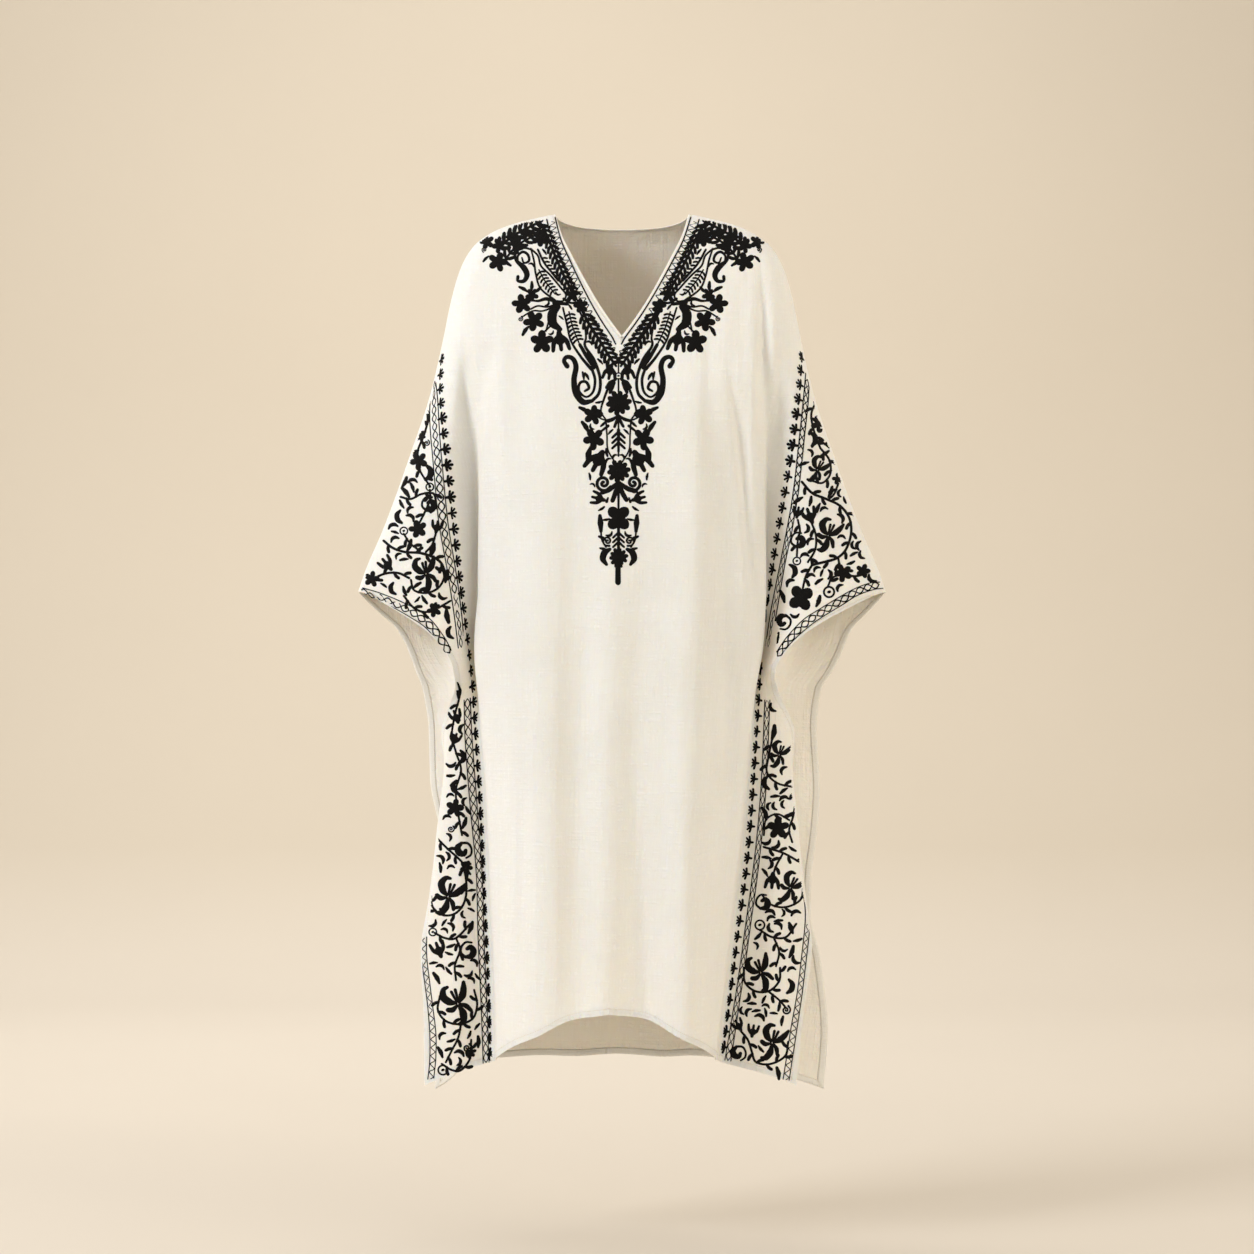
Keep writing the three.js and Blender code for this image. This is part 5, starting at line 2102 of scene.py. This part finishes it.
@dataclass
class PanelEdge:
    """The free edge and hem of one panel: a turned-in strip with a line of stitches.

    Attributes:
        cut: The panel.
        turn_mm: Width of the turned-in strip.
        stitch_mm: Distance of the stitches from the edge.
        half_wall: Half the cloth's thickness.
        strip_wall: Thickness of the strip.
    """

    cut: PanelCut
    turn_mm: float = 10.0
    stitch_mm: float = 8.6
    half_wall: float = HALF_WALL
    strip_wall: float = 0.4

    def surface(self, side: int, station: np.ndarray, z: np.ndarray) -> np.ndarray:
        """Gives panel points at pairs of station and height."""
        s, h = np.asarray(station, float).reshape(-1, 1), np.asarray(z, float).reshape(-1, 1)
        return self.cut.point(side, s, h)[:, 0, :]

    def normal(self, side: int, station: np.ndarray, z: np.ndarray) -> np.ndarray:
        """Gives the panel's outward normals."""
        ds = self.surface(side, station + 0.06, z) - self.surface(side, station - 0.06, z)
        dz = self.surface(side, station, z + 1.5) - self.surface(side, station, z - 1.5)
        n = np.cross(ds, dz) * (-side * self.cut.side.value)
        return n / np.linalg.norm(n, axis=1, keepdims=True)

    def boundary(self) -> Tuple[np.ndarray, np.ndarray]:
        """Gives stations and heights down the free edge and then along the hem to the middle."""
        hem_z = float(HEMS(self.cut.hem_column, np.array(EDGE)))
        down = np.arange(SLEEVE_END - 1.0, hem_z, -3.0)
        along = np.linspace(EDGE, 0.0, 150)
        station = np.concatenate([np.full(len(down), float(EDGE)), along])
        return station, np.concatenate([down, HEMS(self.cut.hem_column, along)])

    def inset(self, side: int, distance: float) -> Tuple[np.ndarray, np.ndarray]:
        """Moves the boundary inwards over the cloth by a distance in millimetres."""
        station, z = self.boundary()
        on_edge = station >= EDGE - 1e-6
        probe = 0.05
        inwards = self.surface(side, station, z) - self.surface(side, station - probe, z)
        width = np.linalg.norm(inwards, axis=1) / probe
        width = np.convolve(np.pad(width, 3, mode="edge"), np.ones(7) / 7, mode="valid")
        hem_z = float(HEMS(self.cut.hem_column, np.array(float(EDGE))))
        reach = EDGE - distance / width
        station = np.where(on_edge, reach, np.minimum(station, reach))
        return station, np.where(on_edge, np.maximum(z, hem_z + distance), z + distance)

    def strip(self, name: str) -> bpy.types.Object:
        """Builds the turned-in strip inside the cloth, for both halves.

        Args:
            name: Name of the piece.

        Returns:
            The strip.
        """
        vertices, faces, uvs = [], [], []
        for side in (-1, 1):
            rows = []
            for distance in (0.6, 3.0, 5.5, 8.0, self.turn_mm):
                station, z = self.inset(side, distance)
                bulge = 0.35 * math.sin(math.pi * min(distance / 9.0, 1.0))
                n = self.normal(side, station, z)
                rows.append(self.surface(side, station, z) - n * (self.half_wall + 0.28 + bulge))
            base, count = len(vertices), len(rows[0])
            along = arc_length(rows[0])
            for k, row in enumerate(rows):
                vertices.extend(row.tolist())
                uvs.extend(np.stack([along, np.full(count, k * 2.4)], -1).tolist())
            faces += grid_faces(base, len(rows), count, side * self.cut.side.value < 0)
        obj = mesh_object(name, np.array(vertices) * MM, faces)
        uv_layers(obj, uvs, uvs)
        thicken(obj, self.strip_wall)
        return obj

    def stitches(self, every: float) -> List[Station]:
        """Spaces the stitches along both halves, on the face and on the inside."""
        out = []
        for side in (-1, 1):
            station, z = self.inset(side, self.stitch_mm)
            n = self.normal(side, station, z)
            for face, lift in ((1.0, self.half_wall - 0.02), (-1.0, self.half_wall + 0.5)):
                line = self.surface(side, station, z) + n * (face * lift)
                out.append(thread_line(line, n * face, every, 1.0))
        return out


@dataclass
class NeckBinding:
    """A narrow bound edge round the neck opening: a fold of the same cloth with a stitch line.

    Attributes:
        gap_mm: Gap between it and the panels at the seam.
        width_mm: How far it reaches into the opening.
        half_mm: Half its thickness.
    """

    gap_mm: float = 0.3
    width_mm: float = 5.0
    half_mm: float = 0.75

    def rim(self) -> Tuple[np.ndarray, np.ndarray]:
        """Gives the closed neck edge and its normals, left to right in front and back again behind."""
        points, normals = [], []
        for cut, sides in ((FRONT, (-1, 1)), (BACK, (1, -1))):
            edge = PanelEdge(cut)
            if cut is FRONT:
                z = np.linspace(-0.01, V_POINT + 0.01, 74)
            else:
                z = -BACK_NECK_DROP * np.sin(np.linspace(0.004, math.pi / 2 - 0.004, 44))
            station = cut.neck_station(z)
            for side, order in zip(sides, (1, -1)):
                points.append(edge.surface(side, station, z)[::order])
                normals.append(edge.normal(side, station, z)[::order])
        return np.vstack(points), np.vstack(normals)

    def frame(self) -> Tuple[np.ndarray, np.ndarray, np.ndarray, np.ndarray]:
        """Gives the rim, its normals, the mitred directions into the opening and their reach."""
        p, n = self.rim()
        keep = np.linalg.norm(p - np.roll(p, 1, axis=0), axis=1) > 0.8
        p, n = p[keep], n[keep]
        for _ in range(2):
            n = n + 0.5 * (np.roll(n, 1, axis=0) + np.roll(n, -1, axis=0))
            n /= np.linalg.norm(n, axis=1, keepdims=True)
        step = np.roll(p, -1, axis=0) - p
        after = np.cross(n, step)
        after /= np.linalg.norm(after, axis=1, keepdims=True)
        before = np.cross(n, np.roll(step, 1, axis=0))
        before /= np.linalg.norm(before, axis=1, keepdims=True)
        mitre = after + before
        mitre /= np.linalg.norm(mitre, axis=1, keepdims=True)
        reach = 1 / np.maximum(0.45, (mitre * after).sum(1))
        return p, n, mitre, reach

    def build(self) -> bpy.types.Object:
        """Builds the binding as a closed ring with a rounded fold at its edge."""
        p, n, mitre, reach = self.frame()
        low, high, h = self.gap_mm, self.gap_mm + self.width_mm, self.half_mm
        section = [(low, -0.5 * h), (low, 0.5 * h)]
        section += [(low + 0.7, h * 0.95), (low + 1.4, h * 0.7), (low + 2.4, h * 0.95)]
        section += [(high - 1.2, h), (high - 0.4, 0.75 * h), (high, 0.25 * h)]
        section += [(high, -0.25 * h), (high - 0.4, -0.75 * h), (high - 1.2, -h), (low + 1.4, -h * 0.8)]
        rings = [p + mitre * (d * reach)[:, None] + n * up for d, up in section]
        count, sides = len(p), len(section)
        vertices = np.vstack(rings)
        along = arc_length(p)
        uvs = np.vstack([np.stack([along, np.full(count, d)], -1) for d, _ in section])
        faces = []
        for k in range(sides):
            other = (k + 1) % sides
            for i in range(count):
                j = (i + 1) % count
                faces.append([k * count + i, k * count + j, other * count + j, other * count + i])
        obj = mesh_object("neck_binding_cloth", vertices * MM, faces)
        uv_layers(obj, uvs, uvs + 30)
        mesh = bmesh.new()
        mesh.from_mesh(obj.data)
        bmesh.ops.recalc_face_normals(mesh, faces=mesh.faces)
        mesh.to_mesh(obj.data)
        mesh.free()
        return obj

    def stitches(self) -> List[Station]:
        """Spaces the stitches that hold the binding, along its inner third."""
        p, n, mitre, reach = self.frame()
        line = p + mitre * ((self.gap_mm + 1.2) * reach)[:, None] + n * (self.half_mm * 0.72)
        return [thread_line(line, n, BINDING_STITCH_MM, 0.5)]


# ------------------------------------------------------------------------------------------------
# Studio
# ------------------------------------------------------------------------------------------------


@dataclass
class Studio:
    """The camera, a pale sweep and soft light.

    Attributes:
        distance: Distance of the camera from the garment in metres.
        view_width: Width of the view at the garment in metres.
        eye: Camera position across and up.
        floor_z: Height of the floor.
        sweep_flat: How far back the sweep's floor is flat.
        sweep_bend: Radius of its bend.
        sweep_width: Its width.
    """

    distance: float = -STUDIO_EYE[1] * MM
    view_width: float = 1.8434
    eye: Tuple[float, float] = (STUDIO_EYE[0] * MM, STUDIO_EYE[2] * MM)
    floor_z: float = -1.514
    sweep_flat: float = 3.2
    sweep_bend: float = 1.8
    sweep_width: float = 18.0

    def camera(self) -> None:
        """Makes the level camera."""
        data = bpy.data.cameras.new("camera")
        data.sensor_width = 36.0
        data.lens = 36.0 * self.distance / self.view_width
        data.clip_end = 60.0
        obj = bpy.data.objects.new("camera", data)
        obj.location = (self.eye[0], -self.distance, self.eye[1])
        obj.rotation_euler = (math.pi / 2, 0.0, 0.0)
        bpy.context.scene.collection.objects.link(obj)
        bpy.context.scene.camera = obj

    def sweep(self) -> bpy.types.Object:
        """Makes the floor and backdrop as one curved sheet."""
        flat, bend = self.sweep_flat, self.sweep_bend
        profile = [(-12.0, 0.0), (flat, 0.0)]
        for a in np.linspace(0.1, math.pi / 2, 16):
            profile.append((flat + bend * math.sin(a), bend - bend * math.cos(a)))
        profile += [(flat + bend, 7.5)]
        half = self.sweep_width / 2
        vertices = [(x, y, self.floor_z + z) for y, z in profile for x in (-half, half)]
        faces = [(2 * i, 2 * i + 1, 2 * i + 3, 2 * i + 2) for i in range(len(profile) - 1)]
        obj = mesh_object("studio_sweep", np.array(vertices), faces)
        obj.data.materials.append(StudioPaper().build())
        obj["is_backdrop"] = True
        return obj

    def light(
        self, name: str, place: Sequence[float], aim: Sequence[float], size: float, power: float, hue: str
    ) -> None:
        """Adds a soft area light.

        Args:
            name: Name of the light.
            place: Its position.
            aim: The point it faces.
            size: Side of its square in metres.
            power: Power in watts.
            hue: Its colour, sRGB.
        """
        data = bpy.data.lights.new(name, "AREA")
        data.energy, data.size, data.color = power, size, linear(hue)[:3]
        obj = bpy.data.objects.new(name, data)
        obj.location = place
        obj.visible_camera = False
        obj.rotation_euler = (Vector(aim) - Vector(place)).to_track_quat("-Z", "Y").to_euler()
        bpy.context.scene.collection.objects.link(obj)

    def build(self) -> None:
        """Builds the whole studio."""
        self.sweep()
        middle = (0.0, 0.0, -0.6)
        self.light("key_light", (-3.9, -2.9, 1.4), middle, 1.7, 134.0, "fdfdff")
        self.light("fill_light", (3.9, -2.6, 0.2), middle, 2.4, 72.0, "fff2dc")
        self.light("top_light", (-0.4, -0.8, 3.2), middle, 3.0, 20.0, "ffffff")
        self.light("backdrop_light", (-0.3, 2.0, 1.5), (-0.1, 5.0, -0.7), 1.2, 34.0, "ffffff")
        self.light("back_key_light", (-3.6, 1.9, 1.7), middle, 1.8, 44.0, "fff8ee")
        self.light("back_fill_light", (3.4, 2.7, 1.4), middle, 2.2, 18.0, "fff1dc")
        world = bpy.data.worlds.new("studio_world")
        world.use_nodes = True
        background = world.node_tree.nodes["Background"]
        background.inputs["Color"].default_value = linear("fff5ea")
        background.inputs["Strength"].default_value = 0.60
        bpy.context.scene.world = world
        bpy.context.scene.view_settings.view_transform = "Standard"


def ride(piece: bpy.types.Object, replaces: Sequence[str] = ()) -> None:
    """Puts a finished piece on the garment's body.

    Args:
        piece: The piece.
        replaces: CAD nodes that it stands for.
    """
    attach(piece, "root")
    if replaces:
        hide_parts(*replaces)


def stitch_unit(length_mm: float, width_mm: float = 0.62, rise_mm: float = 0.42) -> bpy.types.Object:
    """Makes one straight stitch of sewing thread along X: a small arched bar with pointed ends.

    Args:
        length_mm: Its length.
        width_mm: Its width.
        rise_mm: Its height.

    Returns:
        The stitch.
    """
    half, side = length_mm / 2, width_mm / 2
    points = [(-half, 0.0, 0.0)]
    for x, share in ((-half * 0.62, 0.9), (half * 0.62, 0.9)):
        points += [(x, -side, 0.0), (x, 0.0, rise_mm * share), (x, side, 0.0)]
    points.append((half, 0.0, 0.0))
    faces = [(0, 1, 2), (0, 2, 3), (1, 4, 5, 2), (2, 5, 6, 3), (4, 7, 5)]
    faces += [(5, 7, 6), (0, 3, 1), (1, 3, 6, 4), (4, 6, 7)]
    return mesh_object("stitch_unit", np.array(points) * MM, faces)


def embroider(thread: bpy.types.Material) -> List[bpy.types.Object]:
    """Makes all the black needlework of the front.

    Args:
        thread: Its finish.

    Returns:
        The pieces.
    """
    work = Embroidery(FrontCloth(FRONT, STUDIO_EYE, HALF_WALL))
    neck, neck_middles = work.neck_lines()
    borders = [(line, work.border_weight) for border in BORDERS for line in (border.first, border.second)]
    left_grounds = (LEFT_SLEEVE_GROUND, LEFT_SIDE_GROUND)
    right_grounds = (RIGHT_SLEEVE_GROUND, RIGHT_SIDE_GROUND)
    pieces = [
        work.worked("yoke_embroidery", work.yoke()),
        work.worked("neck_lines", neck, 1.15),
        work.worked("left_band_embroidery", work.band(LEFT_BAND, LEFT_STEMS, left_grounds)),
        work.worked("right_band_embroidery", work.band(RIGHT_BAND, RIGHT_STEMS, right_grounds)),
        work.worked("border_lines", borders),
    ]
    for piece in pieces:
        piece.data.materials.append(thread)

    chain, waves = [], []
    for border in BORDERS:
        a, b = (evenly(np.array([(x, y, 0) for x, y in curve_through(line, 1.0)]), 1.0)
                for line in (border.first, border.second))
        share = np.linspace(0, 1, len(a))
        b = np.stack([np.interp(share, np.linspace(0, 1, len(b)), b[:, k]) for k in (0, 1)], -1)
        width = np.linalg.norm(a[:, :2] - b, axis=1) * work.view.pixel_mm
        target = chain if border.laced else waves
        across = np.clip(width - 2.0, 2.0, 9) / 6.0
        every = work.loop_mm * (work.laced_stretch if border.laced else 1.0)
        target.append(stations_on_cloth(work, (a[:, :2] + b) / 2, every, across))
    half = work.loop_mm / 2
    wave = [(x, 3.0 * math.sin(math.pi * x / half)) for x in np.linspace(-half, half, 13)]
    long_wave = [(x * work.laced_stretch, y) for x, y in wave]
    unit = flat_work("laced_unit", [(long_wave, 1.5), ([(x, -y) for x, y in long_wave], 1.5)], 0.6)
    pieces.append(Repeat("laced_chain", unit, thread).build(chain))
    unit = flat_work("wave_unit", [(wave, 1.4)], 0.6)
    pieces.append(Repeat("wave_chain", unit, thread).build(waves))

    zigzag = []
    for middle in neck_middles:
        reach = np.full(len(middle), 1.0)
        zigzag.append(stations_on_cloth(work, middle, 11.0, reach))
    diamond = [(-5.5, 0), (-3.2, 4.6), (0, 0), (3.2, -4.6), (5.5, 0)]
    unit = flat_work("neck_wave_unit", [(diamond, 1.6)], 0.6)
    pieces.append(Repeat("neck_chain", unit, thread).build(zigzag))

    rows = []
    for row in FLOWER_ROWS:
        path = curve_through(row, 2.0)
        rows.append(stations_on_cloth(work, path, FLOWER_SPACING * work.view.pixel_mm, np.ones(len(path))))
    tips = ((-7.4, 0.9), (-5.2, 5.8), (0.4, 8.4), (5.6, 5.4), (7.4, 0.2))
    prongs = [([(0, -1.5), tip], [2.8, 4.3]) for tip in tips]
    unit = flat_work("flower_unit", prongs + [([(0, -5.8), (0, -0.5)], [3.8, 5.0])], 0.8)
    pieces.append(Repeat("small_flowers", unit, thread).build(rows))
    return pieces


def main(cad_box: object) -> None:
    """Builds the kaftan and the studio.
    """
    studio = Studio()
    studio.camera()
    cotton = SlubCotton().build()
    brightened_hem_cotton = BRIGHTENED_HEM_COTTON.build()
    sewing = SewingThread().build()
    needlework = embroider(ChainStitchThread().build())
    for piece in needlework:
        ride(piece)
    binding = NeckBinding()
    ring = binding.build()
    ring.data.materials.append(cotton)
    ride(ring, ["neck_binding"])
    holding = Repeat("neck_binding_stitches", stitch_unit(2.1), sewing).build(binding.stitches())
    ride(holding)
    for cut, name, slot in ((FRONT, "front_panel", "front_cloth"), (BACK, "back_panel", "back_cloth")):
        panel = Panel(cut, name + "_cloth")
        obj = panel.build()
        obj.data.materials.append(cotton)
        ride(obj, [name])
        edge = PanelEdge(cut)
        turn = edge.strip(name + "_hem_turn")
        turn.data.materials.append(brightened_hem_cotton)
        seam = Repeat(name + "_hem_stitches", stitch_unit(2.3), sewing).build(edge.stitches(HEM_STITCH_MM))
        for piece in (turn, seam):
            ride(piece)
    studio.build()


if __name__ == "__main__":
    logging.basicConfig(level=logging.INFO, format="%(name)s: %(message)s")
    main(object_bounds())
